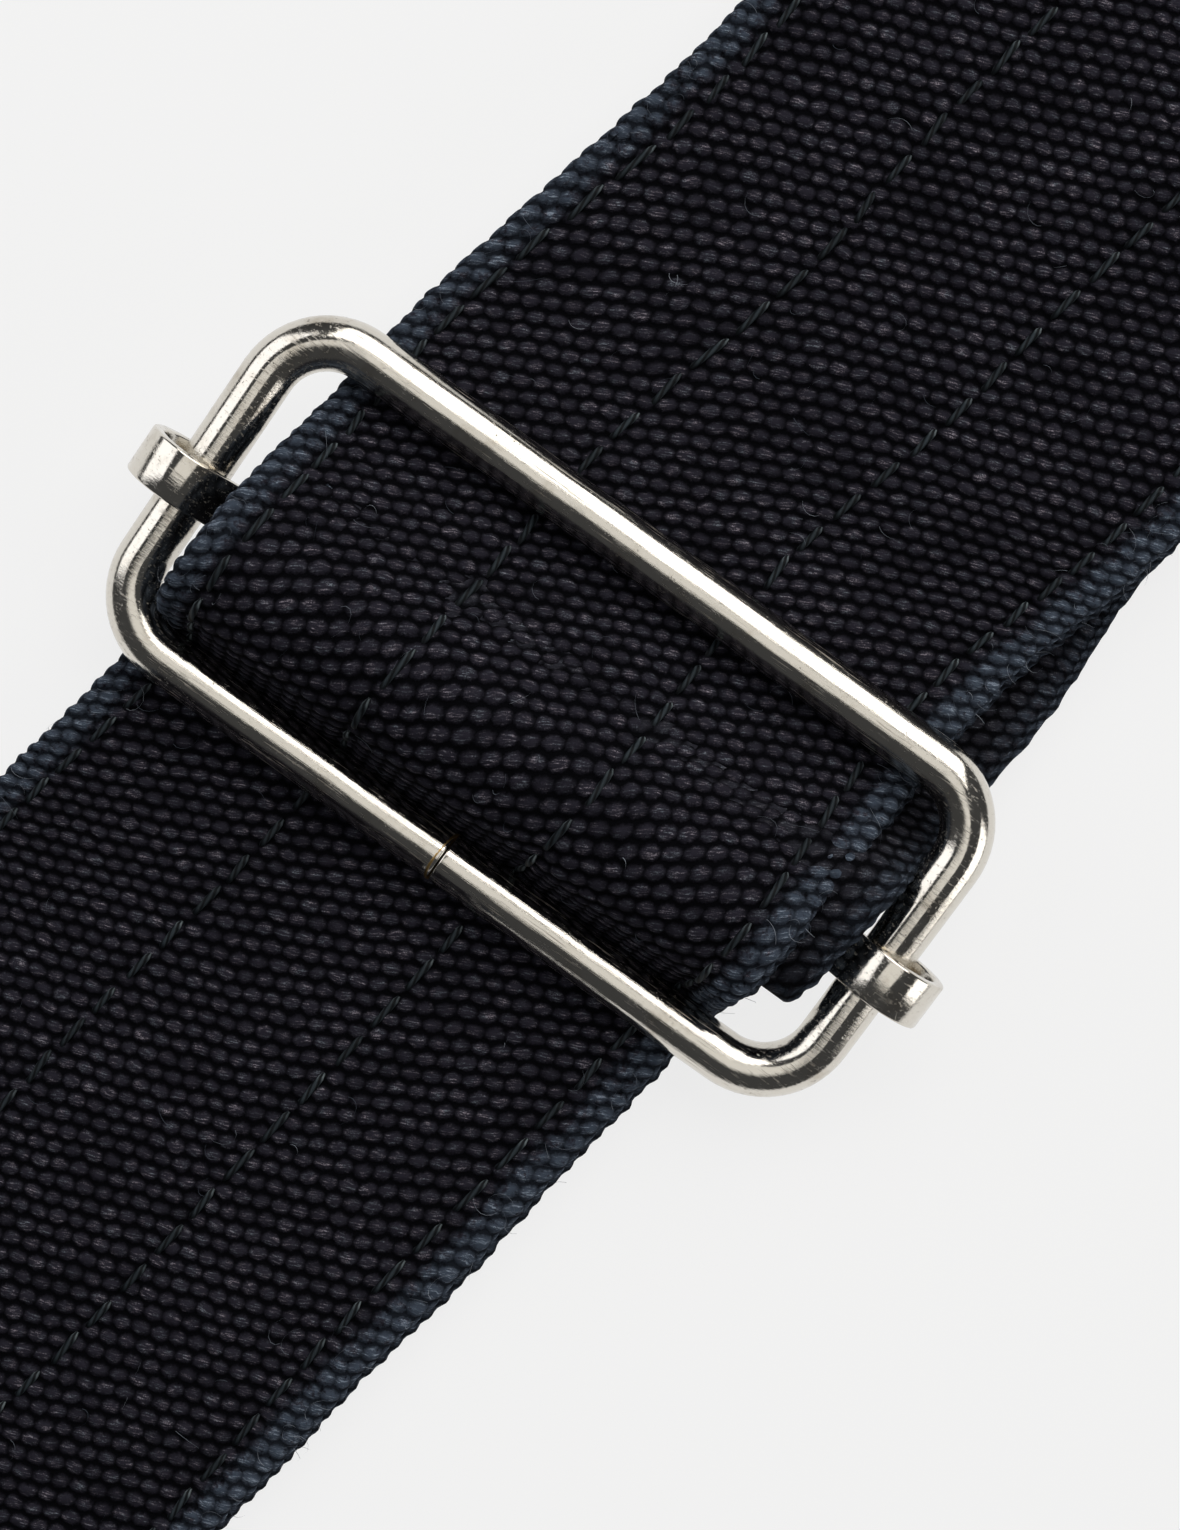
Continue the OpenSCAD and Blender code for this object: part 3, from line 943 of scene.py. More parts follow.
@dataclass
class Lint:
    """Loose fibres on the cloth, thick along its worn edges."""

    name: str
    start: float
    end: float
    count: int
    seed: int
    fibre_r: float = 0.022
    columns: int = 3
    rows: int = 6

    def skin(self, copy: Numbers, column: Numbers, row: Numbers) -> Skin:
        """Places the fibres, each a short curve that lifts off the cloth.

        Args:
            copy: Number of the tube, for every point.
            column: Number of the column round it.
            row: Number of the row along it.

        Returns:
            The points with their yarn coordinates.
        """
        chance = np.random.default_rng(self.seed)
        start = chance.uniform(self.start, self.end, self.count)
        edge = chance.uniform(0, 1, self.count)
        y0 = np.where(edge < 0.42, -25.0 + chance.exponential(0.9, self.count),
                      np.where(edge < 0.62, 25.0 - chance.exponential(0.9, self.count),
                               chance.uniform(-24, 24, self.count)))
        heading = chance.uniform(0, 2 * math.pi, self.count)
        length = chance.uniform(0.7, 2.2, self.count)
        curl = chance.uniform(-2.2, 2.2, self.count)
        lift = chance.uniform(0.1, 0.55, self.count)
        t = row / self.rows
        bearing = heading[copy] + curl[copy] * t
        along = length[copy] * t
        s = start[copy] + along * np.cos(bearing)
        y = np.clip(y0[copy] + along * np.sin(bearing), -25.9, 25.9)
        beyond = np.clip((np.abs(y) - 24.6) / 1.2, 0, 1)
        n = SIZES.half_t + 0.05 + lift[copy] * np.sin(math.pi * t) - 0.9 * beyond
        angle = 2 * math.pi * column / self.columns
        r = self.fibre_r * (1 - 0.6 * t)
        uv = np.stack([column / self.columns + np.floor(50 * edge[copy]), t], axis=1)
        return Skin(WAY.place(s + r * np.cos(angle), y, n + r * np.sin(angle)), uv)

    def build(self) -> bpy.types.Object:
        """Makes the fibres as one piece."""
        return swept(self.name, self.columns, self.rows, self.count, self.skin)


# --------------------------------------------------------------------------- shading

class Channel:
    """A node's output with arithmetic: an expression on channels adds its Math nodes."""

    def __init__(self, look: "Look", socket: bpy.types.NodeSocket) -> None:
        """Wraps one output socket of a look's tree."""
        self.look, self.socket = look, socket

    def _math(self, operation: str, *values: Any) -> "Channel":
        """Adds a Math node on this channel and other values."""
        return self.look.node("ShaderNodeMath", {"operation": operation}, dict(enumerate(values)))

    def __add__(self, other: Any) -> "Channel":
        """Sum."""
        return self._math("ADD", self, other)

    __radd__ = __add__

    def __sub__(self, other: Any) -> "Channel":
        """Difference."""
        return self._math("SUBTRACT", self, other)

    def __rsub__(self, other: Any) -> "Channel":
        """Difference from a number."""
        return self._math("SUBTRACT", other, self)

    def __mul__(self, other: Any) -> "Channel":
        """Product."""
        return self._math("MULTIPLY", self, other)

    __rmul__ = __mul__

    def __truediv__(self, other: Any) -> "Channel":
        """Quotient."""
        return self._math("DIVIDE", self, other)

    def __rtruediv__(self, other: Any) -> "Channel":
        """Quotient of a number."""
        return self._math("DIVIDE", other, self)

    def __pow__(self, other: Any) -> "Channel":
        """Power."""
        return self._math("POWER", self, other)

    def __gt__(self, other: Any) -> "Channel":
        """1 where this is greater."""
        return self._math("GREATER_THAN", self, other)

    def sine(self) -> "Channel":
        """Sine."""
        return self._math("SINE", self)

    def clamped(self) -> "Channel":
        """Kept between 0 and 1."""
        return self.look.node("ShaderNodeClamp", {}, {0: self})

    def floor(self) -> "Channel":
        """Whole number below."""
        return self._math("FLOOR", self)

    def spread(self, low: float, high: float) -> "Channel":
        """0 at low, 1 at high, smooth between and level beyond."""
        settings = {"interpolation_type": "SMOOTHSTEP"}
        return self.look.node("ShaderNodeMapRange", settings, {0: self, 1: low, 2: high, 3: 0.0, 4: 1.0})


class Look:
    """A material under construction."""

    def __init__(self, name: str) -> None:
        """Starts a material with its surface shader."""
        self.material = bpy.data.materials.new(name)
        self.material.use_nodes = True
        self.tree = self.material.node_tree
        self.tree.nodes.clear()
        self.shader = self.tree.nodes.new("ShaderNodeBsdfPrincipled")
        out = self.tree.nodes.new("ShaderNodeOutputMaterial")
        self.tree.links.new(self.shader.outputs[0], out.inputs[0])

    def node(self, kind: str, settings: dict[str, Any], inputs: dict[Any, Any], output: Any = 0) -> Channel:
        """Adds a node.

        Args:
            kind: The node's type.
            settings: Its properties.
            inputs: Numbers or channels for its sockets.
            output: Name or number of the output wanted.

        Returns:
            The output as a channel.
        """
        made = self.tree.nodes.new(kind)
        for key, value in settings.items():
            setattr(made, key, value)
        for key, value in inputs.items():
            if isinstance(value, Channel):
                self.tree.links.new(value.socket, made.inputs[key])
            else:
                made.inputs[key].default_value = value
        return Channel(self, made.outputs[output])

    def mix(self, share: Any, first: Any, second: Any) -> Channel:
        """Mixes two colours."""
        wide = [c if isinstance(c, Channel) else (*c, 1.0) for c in (first, second)]
        return self.node("ShaderNodeMix", {"data_type": "RGBA"}, {0: share, 6: wide[0], 7: wide[1]}, 2)

    def vector(self, x: Any, y: Any, z: Any = 0.0) -> Channel:
        """Joins three numbers into a vector."""
        return self.node("ShaderNodeCombineXYZ", {}, {0: x, 1: y, 2: z})

    def parts(self, vector: Channel) -> list[Channel]:
        """The three numbers of a vector."""
        made = self.node("ShaderNodeSeparateXYZ", {}, {0: vector}).socket.node
        return [Channel(self, made.outputs[i]) for i in range(3)]

    def yarn_place(self) -> list[Channel]:
        """The piece's own distances across and along its yarns."""
        return self.parts(self.node("ShaderNodeUVMap", {"uv_map": "yarn"}, {}))

    def object_place(self) -> Channel:
        """The place on the object."""
        return self.node("ShaderNodeTexCoord", {}, {}, "Object")

    def luck(self, number: Channel) -> Channel:
        """A tone from 0 to 1 for each whole number."""
        settings = {"noise_dimensions": "1D"}
        return self.node("ShaderNodeTexWhiteNoise", settings, {"W": number.floor()}, "Value")

    def noise(self, vector: Channel, scale: float, detail: float = 2.0, rough: float = 0.5) -> Channel:
        """Soft noise from 0 to 1."""
        return self.node("ShaderNodeTexNoise", {"noise_dimensions": "3D"},
                         {"Vector": vector, "Scale": scale, "Detail": detail, "Roughness": rough})

    def bump(self, height: Channel, distance: float, strength: float = 1.0) -> None:
        """Feeds the shader's normal from a height."""
        inputs = {"Height": height, "Distance": distance, "Strength": strength}
        bump = self.node("ShaderNodeBump", {}, inputs)
        self.tree.links.new(bump.socket, self.shader.inputs["Normal"])

    def feed(self, **inputs: Any) -> None:
        """Sets or links the shader's sockets, named with underscores."""
        for key, value in inputs.items():
            socket = self.shader.inputs[key.replace("_", " ")]
            if isinstance(value, Channel):
                self.tree.links.new(value.socket, socket)
            elif isinstance(value, tuple):
                socket.default_value = (*value, 1.0)
            else:
                socket.default_value = value


@dataclass(frozen=True)
class CanvasFinish:
    """Dark, worn cotton canvas, with painted shade in the gaps between its yarns and painted highlights on
    their crests.
    """

    name: str
    # crevice_shade: painted shade, the near-black colour laid in the gaps between the yarns' ovals
    crevice_shade: Colour
    yarn: Colour
    # crest and cool crest highlight: painted highlight colours, laid along the fibres on the tops of the
    # ovals
    crest: Colour
    cool_crest_highlight: Colour = (0.150, 0.170, 0.200)
    worn: Colour = (0.052, 0.068, 0.094)
    faded: Colour = (0.23, 0.275, 0.34)

    def material(self) -> bpy.types.Material:
        """Builds the weave from the yarn coordinates."""
        look = Look(self.name)
        across, along, _ = look.yarn_place()
        fray = look.noise(look.vector(across, along), 2.6, 4.0, 0.75) - 0.5
        fuzz = look.noise(look.vector(across, along, 7.0), 2.6, 4.0, 0.75) - 0.5
        rise, cell = self.ovals(look, across + fray * 0.55, along + fuzz * 0.45)
        dome = rise ** 0.8
        luck = look.node("ShaderNodeTexWhiteNoise", {"noise_dimensions": "2D"}, {"Vector": cell}, "Value")
        tilt = WEAVE.lean
        fibre_way = look.vector((across * math.cos(tilt) + along * math.sin(tilt)) * 1.3,
                                (along * math.cos(tilt) - across * math.sin(tilt)) * 8.0, luck * 2.0)
        fibres = look.noise(fibre_way, 1.0, 3.0, 0.65)
        grain = look.noise(look.vector(across, along), 9.0, 3.0, 0.7)
        patches = look.noise(look.vector(across, along), 0.13, 3.0)
        height = dome * (luck * 0.35 + 0.8) + (fibres - 0.5) * 0.5 * dome + (grain - 0.5) * 0.3
        # Painted shade: the colour falls from the yarn colour to the crevice shade colour in the gaps
        # between the ovals; luck, patches and grain add the cloth's own uneven tone.
        shade = ((rise ** 1.3) * 1.15 + 0.03) * (luck * 0.6 + 0.70)
        shade = shade * (patches * 0.9 + 0.60) * (grain * 1.4 + 0.35)
        body = look.mix(shade.clamped(), self.crevice_shade, self.yarn)
        # Painted highlight: light marks the lit tops of the ovals, where the crest highlight colours go;
        # tint picks a warm or a cool highlight.
        light = (fibres.spread(0.48, 0.72) * grain.spread(0.36, 0.66)) * rise.spread(0.30, 0.95)
        light = (light * (luck * 1.2 + 0.45) * (patches * 0.9 + 0.7)).clamped()
        tint = look.noise(look.vector(across, along), 0.9, 2.0)
        body = look.mix(light, body, look.mix(tint.spread(0.40, 0.60), self.crest, self.cool_crest_highlight))
        wear = look.node("ShaderNodeAttribute", {"attribute_name": "wear"}, {}, "Fac")
        grit = look.noise(look.vector(across, along), 1.6, 4.0, 0.7)
        blotch = look.noise(look.vector(across, along), 0.22, 3.0, 0.6)
        faded = wear * 1.7 * grit.spread(0.25, 0.7) * (blotch.spread(0.25, 0.55) * 0.8 + 0.4)
        faded = faded.spread(0.05, 0.75)
        # The faded colour is real edge wear, but pale follows the painted highlight mask, so the faded
        # colour shows most where the painted highlight falls.
        pale = light * 1.2 + fibres.spread(0.5, 0.75) * dome * 0.5
        body = look.mix((faded * (dome * 0.8 + 0.15)).clamped(), body, self.worn)
        body = look.mix((faded * pale).clamped(), body, self.faded)
        look.feed(Base_Color=body, Roughness=0.9, Specular_IOR_Level=0.04)
        look.bump(height, 0.22 * MM, 1.0)
        return look.material

    @staticmethod
    def ovals(look: "Look", across: "Channel", along: "Channel") -> tuple["Channel", "Channel"]:
        """The yarns' ovals, which stand in columns and change places from column to column.

        Args:
            look: The material under construction.
            across: Distance across the yarns.
            along: Distance along them.

        Returns:
            Rise from 0 in the gaps to 1, and the middle of the nearest oval.
        """
        a, b = across / WEAVE.warp_pitch, along / WEAVE.weft_pitch
        cos, sin = math.cos(WEAVE.lean), math.sin(WEAVE.lean)
        off = [(a - c - ((a - (c - 1)) / 2).floor() * 2, b - c - ((b - (c - 1)) / 2).floor() * 2)
               for c in (0.5, 1.5)]
        far = []
        for da, db in off:
            u = (da * (WEAVE.warp_pitch * cos) + db * (WEAVE.weft_pitch * sin)) / WEAVE.long_reach
            v = (db * (WEAVE.weft_pitch * cos) - da * (WEAVE.warp_pitch * sin)) / WEAVE.short_reach
            far.append(u * u + v * v)
        second = far[0] > far[1]
        (da, db), (ea, eb) = off
        middle = look.vector(a - da - second * (ea - da), b - db - second * (eb - db))
        return (1.0 - far[0] - second * (far[1] - far[0])).clamped(), middle


@dataclass(frozen=True)
class ThreadFinish:
    """Twisted thread, with painted shade in its grooves and a painted highlight on its proud end."""

    name: str = "thread"
    # deep shade: painted shade, laid in the grooves between the twisted strands and on the end that dives
    # into its hole
    deep_shade: Colour = (0.0025, 0.0034, 0.0045)
    strand: Colour = (0.030, 0.040, 0.047)
    # end highlight: painted highlight colour on the proud far end of each stitch
    end_highlight: Colour = (0.24, 0.28, 0.29)

    def material(self) -> bpy.types.Material:
        """Builds strands that wind round the thread."""
        look = Look(self.name)
        around, along, _ = look.yarn_place()
        wind = ((around * 3.0 + along * 2.4) * (2 * math.pi)).sine() * 0.5 + 0.5
        hair = look.noise(look.vector(around * 9.0 + along * 8.0, along * 2.0), 1.0, 3.0)
        tone = look.luck(around)
        # Painted shade: the strands darken to the deep shade colour in the grooves of the twist; tone and
        # hair add the thread's own uneven colour.
        shade = wind.spread(0.0, 0.75) * (hair * 0.9 + 0.35) * (tone * 0.5 + 0.6)
        body = look.mix(shade, self.deep_shade, self.strand)
        # Painted highlight on the proud far end of the stitch, along the crests of its strands.
        proud = along.spread(0.72, 1.0) * wind.spread(0.3, 1.0) * (hair + 0.1) * tone
        body = look.mix(proud, body, self.end_highlight)
        # Painted shade: the near end darkens where it dives into its hole.
        body = look.mix(1.0 - along.spread(0.0, 0.30), body, self.deep_shade)
        look.feed(Base_Color=body, Roughness=0.6, Specular_IOR_Level=0.12)
        look.bump(wind + hair * 0.4, 0.10 * MM, 0.8)
        return look.material


@dataclass(frozen=True)
class LintFinish:
    """Pale loose fibres."""

    name: str = "lint"
    dull: Colour = (0.05, 0.06, 0.08)
    pale: Colour = (0.32, 0.35, 0.40)

    def material(self) -> bpy.types.Material:
        """Builds fibres of mixed paleness."""
        look = Look(self.name)
        around, _, _ = look.yarn_place()
        tone = look.luck(around)
        look.feed(Base_Color=look.mix(tone ** 2.0, self.dull, self.pale), Roughness=0.8,
                  Specular_IOR_Level=0.2)
        return look.material


@dataclass(frozen=True)
class NickelFinish:
    """Worn nickel plating on steel."""

    name: str
    turn: float = 0.0
    plate: Colour = (0.70, 0.665, 0.60)
    tarnish: Colour = (0.36, 0.30, 0.22)
    pit: Colour = (0.10, 0.085, 0.07)
    shine: float = 0.06

    def material(self) -> bpy.types.Material:
        """Builds plating with pits, stains and scratches along the bars."""
        look = Look(self.name)
        place = look.object_place()
        turned = look.node("ShaderNodeMapping", {"vector_type": "TEXTURE"},
                           {"Vector": place, "Rotation": (0.0, 0.0, self.turn)})
        x, y, z = look.parts(turned)
        scratch = look.noise(look.vector(x * 5200.0, y * 160.0, z * 5200.0), 1.0, 4.0, 0.7)
        drag = look.noise(look.vector(x * 2600.0, y * 420.0, z * 2600.0), 1.0, 4.0, 0.75)
        stain = look.noise(turned, 260.0, 4.0, 0.62)
        speck = look.noise(turned, 3300.0, 2.0, 0.6)
        pits = speck.spread(0.64, 0.74) * stain.spread(0.42, 0.66)
        lines = scratch.spread(0.58, 0.68)
        body = look.mix(stain.spread(0.5, 0.78) * 0.55, self.plate, self.tarnish)
        body = look.mix(pits * 0.75, body, self.pit)
        body = look.mix(lines * 0.35, body, self.tarnish)
        look.feed(Base_Color=body, Metallic=1.0,
                  Roughness=self.shine + stain * 0.05 + pits * 0.5 + lines * 0.50
                  + drag.spread(0.52, 0.66) * 0.20)
        look.bump(scratch * 0.9 - pits * 0.8 + stain * 0.6, 0.03 * MM, 0.40)
        return look.material


@dataclass(frozen=True)
class LeatherFinish:
    """Dyed leather with a fine grain."""

    name: str
    hide: Colour = (0.020, 0.016, 0.013)
    fold: Colour = (0.008, 0.007, 0.006)
    rub: Colour = (0.075, 0.055, 0.040)

    def material(self) -> bpy.types.Material:
        """Builds creased grain with rubbed high places."""
        look = Look(self.name)
        place = look.object_place()
        grain = look.node("ShaderNodeTexVoronoi", {"feature": "DISTANCE_TO_EDGE"},
                          {"Vector": place, "Scale": 950.0, "Randomness": 1.0}, "Distance")
        soft = look.noise(place, 130.0, 4.0, 0.6)
        pores = look.noise(place, 2600.0, 2.0, 0.5)
        pebble = grain.spread(0.0, 0.28)
        body = look.mix(pebble * (soft * 0.8 + 0.4), self.fold, self.hide)
        body = look.mix(soft.spread(0.55, 0.8) * pebble * 0.4, body, self.rub)
        look.feed(Base_Color=body, Roughness=0.42 + soft * 0.25, Specular_IOR_Level=0.4)
        look.bump(pebble + soft * 0.8 + pores * 0.15, 0.12 * MM, 0.7)
        return look.material


@dataclass(frozen=True)
class PlainFinish:
    """An even, slightly uneven coat for small hidden faces."""

    name: str
    colour: Colour
    rough: float = 0.5
    metal: float = 0.0

    def material(self) -> bpy.types.Material:
        """Builds the coat with a little mottling."""
        look = Look(self.name)
        place = look.object_place()
        mottle = look.noise(place, 700.0, 3.0, 0.6)
        darker = tuple(c * 0.6 for c in self.colour)
        look.feed(Base_Color=look.mix(mottle, darker, self.colour), Metallic=self.metal,
                  Roughness=self.rough)
        return look.material


class Finish(Enum):
    """The strap's finishes."""

    # Canvas colours in order: crevice painted shade, the yarn's own colour, crest painted highlight.
    FACE_CANVAS = CanvasFinish("face_canvas", (0.0009, 0.0010, 0.0016), (0.0205, 0.0192, 0.0275),
                               (0.270, 0.240, 0.280))
    BACK_CANVAS = CanvasFinish("back_canvas", (0.0011, 0.0012, 0.0018), (0.0210, 0.0210, 0.0280),
                               (0.150, 0.145, 0.165), worn=(0.035, 0.046, 0.064), faded=(0.16, 0.19, 0.24))
    THREAD = ThreadFinish()
    LINT = LintFinish()
    SLIDER_NICKEL = NickelFinish("slider_nickel", turn=SIZES.turn)
    RING_NICKEL = NickelFinish("ring_nickel")
    BRASS = PlainFinish("bare_brass", (0.58, 0.38, 0.15), 0.35, 1.0)
    LEATHER = LeatherFinish("leather")
    LINING = LeatherFinish("lining_leather", (0.030, 0.023, 0.017), (0.012, 0.010, 0.008),
                           (0.10, 0.075, 0.05))


MADE: dict[Finish, bpy.types.Material] = {}


def dress(obj: bpy.types.Object, finish: Finish) -> None:
    """Gives an object its material.

    Args:
        obj: The piece or node.
        finish: The finish it gets.
    """
    if finish not in MADE:
        MADE[finish] = finish.value.material()
    obj.data.materials.clear()
    obj.data.materials.append(MADE[finish])


def fit(piece: bpy.types.Object, finish: Finish, node: str, body: str) -> None:
    """Dresses a piece and joins it to the part.

    Args:
        piece: The piece.
        finish: The finish it gets.
        node: The CAD node that the piece stands for.
        body: The body that it moves with.
    """
    dress(piece, finish)
    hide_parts(node)
    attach(piece, body)


# --------------------------------------------------------------------------- canvas

class Crossing(Enum):
    """How a stretch of strap follows the moving bodies."""

    ON_RUN = "long_run"
    INTO_SLIDER = "blend into the slider"
    ON_BAR = "centre_bar"
    INTO_RING = "blend into the ring loop"


@dataclass
class CanvasStretch:
    """One stretch of the strap: both plies, its stitches and its lint."""

    name: str
    start: float
    end: float
    follows: Crossing
    nodes: tuple[str, str, str | None]
    seen: tuple[float, float] | None = None
    lint: int = 0
    stitch_span: tuple[float, float] | None = None
    back_reach: tuple[float, float] = (24.6, 25.5)

    def follow(self, piece: bpy.types.Object) -> None:
        """Attaches a piece to the body of its stretch, or bakes its placement into its mesh where the
        stretch crosses into the slider or the ring loop.
        """
        if self.follows is Crossing.INTO_SLIDER:
            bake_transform(piece)
        elif self.follows is Crossing.INTO_RING:
            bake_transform(piece)
        else:
            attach(piece, self.follows.value)

    @staticmethod
    def at_x(x: float) -> tuple[float, float, float]:
        """A point on the strap's middle line, in the frame."""
        return ((x + SLIDER_X) * MM, 0.0, 0.0)

    def build(self) -> list[bpy.types.Object]:
        """Makes the stretch's pieces."""
        z = SIZES
        length = (self.end - self.start) * MM
        face = Ply(f"{self.name}_face_canvas", self.start, self.end, PlySection(z.ply_line, z.half_t),
                   self.seen).build()
        back = Ply(f"{self.name}_back_canvas", self.start, self.end,
                   PlySection(-z.half_t, z.ply_line, 60, 10, 40), self.seen, fine_step=0.3, coarse_step=0.8,
                   plus_edge=self.back_reach[0], minus_edge=self.back_reach[1], face=False).build()
        dress(face, Finish.FACE_CANVAS)
        dress(back, Finish.BACK_CANVAS)
        made = [face, back]
        for piece, node in zip(made, self.nodes):
            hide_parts(node)
        if self.stitch_span:
            stitches = StitchRun(f"{self.name}_stitches", *self.stitch_span).build()
            dress(stitches, Finish.THREAD)
            if self.nodes[2]:
                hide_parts(self.nodes[2])
            made.append(stitches)
        if self.lint:
            lint = Lint(f"{self.name}_lint", self.start + 1, min(self.end - 1, WAY.ring_turn - 60),
                        self.lint, len(self.name)).build()
            dress(lint, Finish.LINT)
            made.append(lint)
        for piece in made:
            self.follow(piece)
        return made


@dataclass
class Canvas:
    """The canvas strap in the stretches that its moving bodies need."""

    made: list[bpy.types.Object] = field(default_factory=list)

    def stretches(self) -> list[CanvasStretch]:
        """The stretches from the front tab to the sewn end."""
        return [
            CanvasStretch("roll", 0.0, WAY.roll_end, Crossing.ON_RUN,
                          ("long_run_face_ply", "long_run_back_ply", "long_run_stitching"),
                          stitch_span=(30.0, WAY.roll_end), back_reach=(24.7, 24.7)),
            CanvasStretch("run", WAY.roll_end, WAY.low_bar, Crossing.INTO_SLIDER,
                          ("long_run_face_ply", "long_run_back_ply", "long_run_stitching"),
                          seen=(WAY.seen_start, WAY.low_bar), lint=210,
                          stitch_span=(WAY.roll_end, WAY.low_bar)),
            CanvasStretch("arch", WAY.low_bar, WAY.high_bar, Crossing.ON_BAR,
                          ("slider_pass_face_ply", "slider_pass_back_ply", "slider_pass_stitching"),
                          seen=(WAY.low_bar, WAY.high_bar), lint=90,
                          stitch_span=(WAY.low_bar, WAY.high_bar)),
            CanvasStretch("ring_loop", WAY.high_bar, WAY.under_bar, Crossing.INTO_RING,
                          ("ring_loop_face_ply", "ring_loop_back_ply", "ring_loop_stitching"),
                          seen=(WAY.high_bar, WAY.seen_end), lint=230,
                          stitch_span=(WAY.high_bar, WAY.under_bar)),
            CanvasStretch("sewn_end", WAY.under_bar, WAY.end, Crossing.ON_BAR,
                          ("bar_loop_face_ply", "bar_loop_back_ply", "bar_loop_stitching"),
                          seen=(WAY.under_bar, WAY.end), stitch_span=(WAY.under_bar, WAY.end - 14)),
        ]

    def build(self) -> list[bpy.types.Object]:
        """Makes every stretch."""
        for stretch in self.stretches():
            self.made += stretch.build()
        return self.made


# --------------------------------------------------------------------------- metalwork

class Bender:
    """Bends a wire from a round blank: straight legs and corners on the XY plane."""

    def __init__(self, radius: float, start: Vector, sides: int = 28) -> None:
        """Sets the wire's round end at a point, pointing along +Y.

        Args:
            radius: The wire's radius.
            start: Middle of its end.
            sides: Faces round the wire.
        """
        self.bm = bmesh.new()
        self.at, self.heading = start.copy(), Vector((0, 1, 0))
        stand = Matrix.Translation(start) @ Matrix.Rotation(math.radians(90), 4, "X")
        bmesh.ops.create_circle(self.bm, segments=sides, radius=radius, matrix=stand)
        self.end = list(self.bm.edges)

    def straight(self, length: float, steps: int) -> None:
        """Draws the wire straight on."""
        self.end = drawn(self.bm, self.end, self.heading * length, steps)
        self.at += self.heading * length

    def corner(self, radius: float, degrees: float, steps: int = 14) -> None:
        """Bends the wire to the right.

        Args:
            radius: Radius of the bend's middle line.
            degrees: Angle of the bend.
            steps: Faces along it.
        """
        right = Vector((self.heading.y, -self.heading.x, 0))
        centre = self.at + right * radius
        self.end = swung(self.bm, self.end, centre, Vector((0, 0, -1)), math.radians(degrees), steps)
        turn = Matrix.Rotation(math.radians(-degrees), 3, "Z")
        self.at = centre + turn @ (self.at - centre)
        self.heading = turn @ self.heading

    def done(self, chamfer: float) -> bmesh.types.BMesh:
        """Closes the wire's ends with chamfered rims.

        Args:
            chamfer: Width of the chamfer.

        Returns:
            The finished wire.
        """
        bmesh.ops.remove_doubles(self.bm, verts=self.bm.verts, dist=1e-4)
        rim = [e for e in self.bm.edges if e.is_boundary]
        bmesh.ops.holes_fill(self.bm, edges=rim, sides=0)
        bmesh.ops.recalc_face_normals(self.bm, faces=self.bm.faces)
        bevel(self.bm, rim, chamfer, 3)
        return self.bm


@dataclass
class WireLoop:
    """A closed rectangle of bent wire; its ends meet in a butt joint on the first long bar."""

    name: str
    length: float
    width: float
    corner: float
    wire_r: float = SIZES.wire_r
    joint_gap: float = 0.12
    waver: float = 0.05
    chamfer: float = 0.12

    def build(self, place: Matrix) -> bpy.types.Object:
        """Bends the wire and lays it in its place.

        Args:
            place: From the loop's own frame, in millimetres, to the part's.

        Returns:
            The finished loop.
        """
        wire = Bender(self.wire_r, Vector((-self.width / 2, self.joint_gap / 2, 0)))
        long_half = self.length / 2 - self.corner
        across = self.width - 2 * self.corner
        to_joint = long_half - self.joint_gap / 2
        for leg, steps in ((to_joint, 24), (across, 8), (2 * long_half, 48), (across, 8)):
            wire.straight(leg, steps)
            wire.corner(self.corner, 90)
        wire.straight(to_joint, 24)
        bm = wire.done(self.chamfer)
        uneven = Ripple(len(self.name), 9.0)
        for vert in bm.verts:
            x, y, z = vert.co
            vert.co += Vector((float(uneven(y, 3.0)), 0, float(uneven(y, x + 40)))) * self.waver
        bmesh.ops.transform(bm, matrix=Matrix.Scale(MM, 4) @ place, verts=bm.verts)
        return finished(bm, self.name)


def slider_place() -> Matrix:
    """From the slider's own frame to the part's, in millimetres."""
    return (Matrix.Translation((SLIDER_X, SLIDER_Y, SIZES.frame_z)) @ Matrix.Rotation(SIZES.turn, 4, "Z")
            @ Matrix.Rotation(-SIZES.tilt, 4, "Y"))


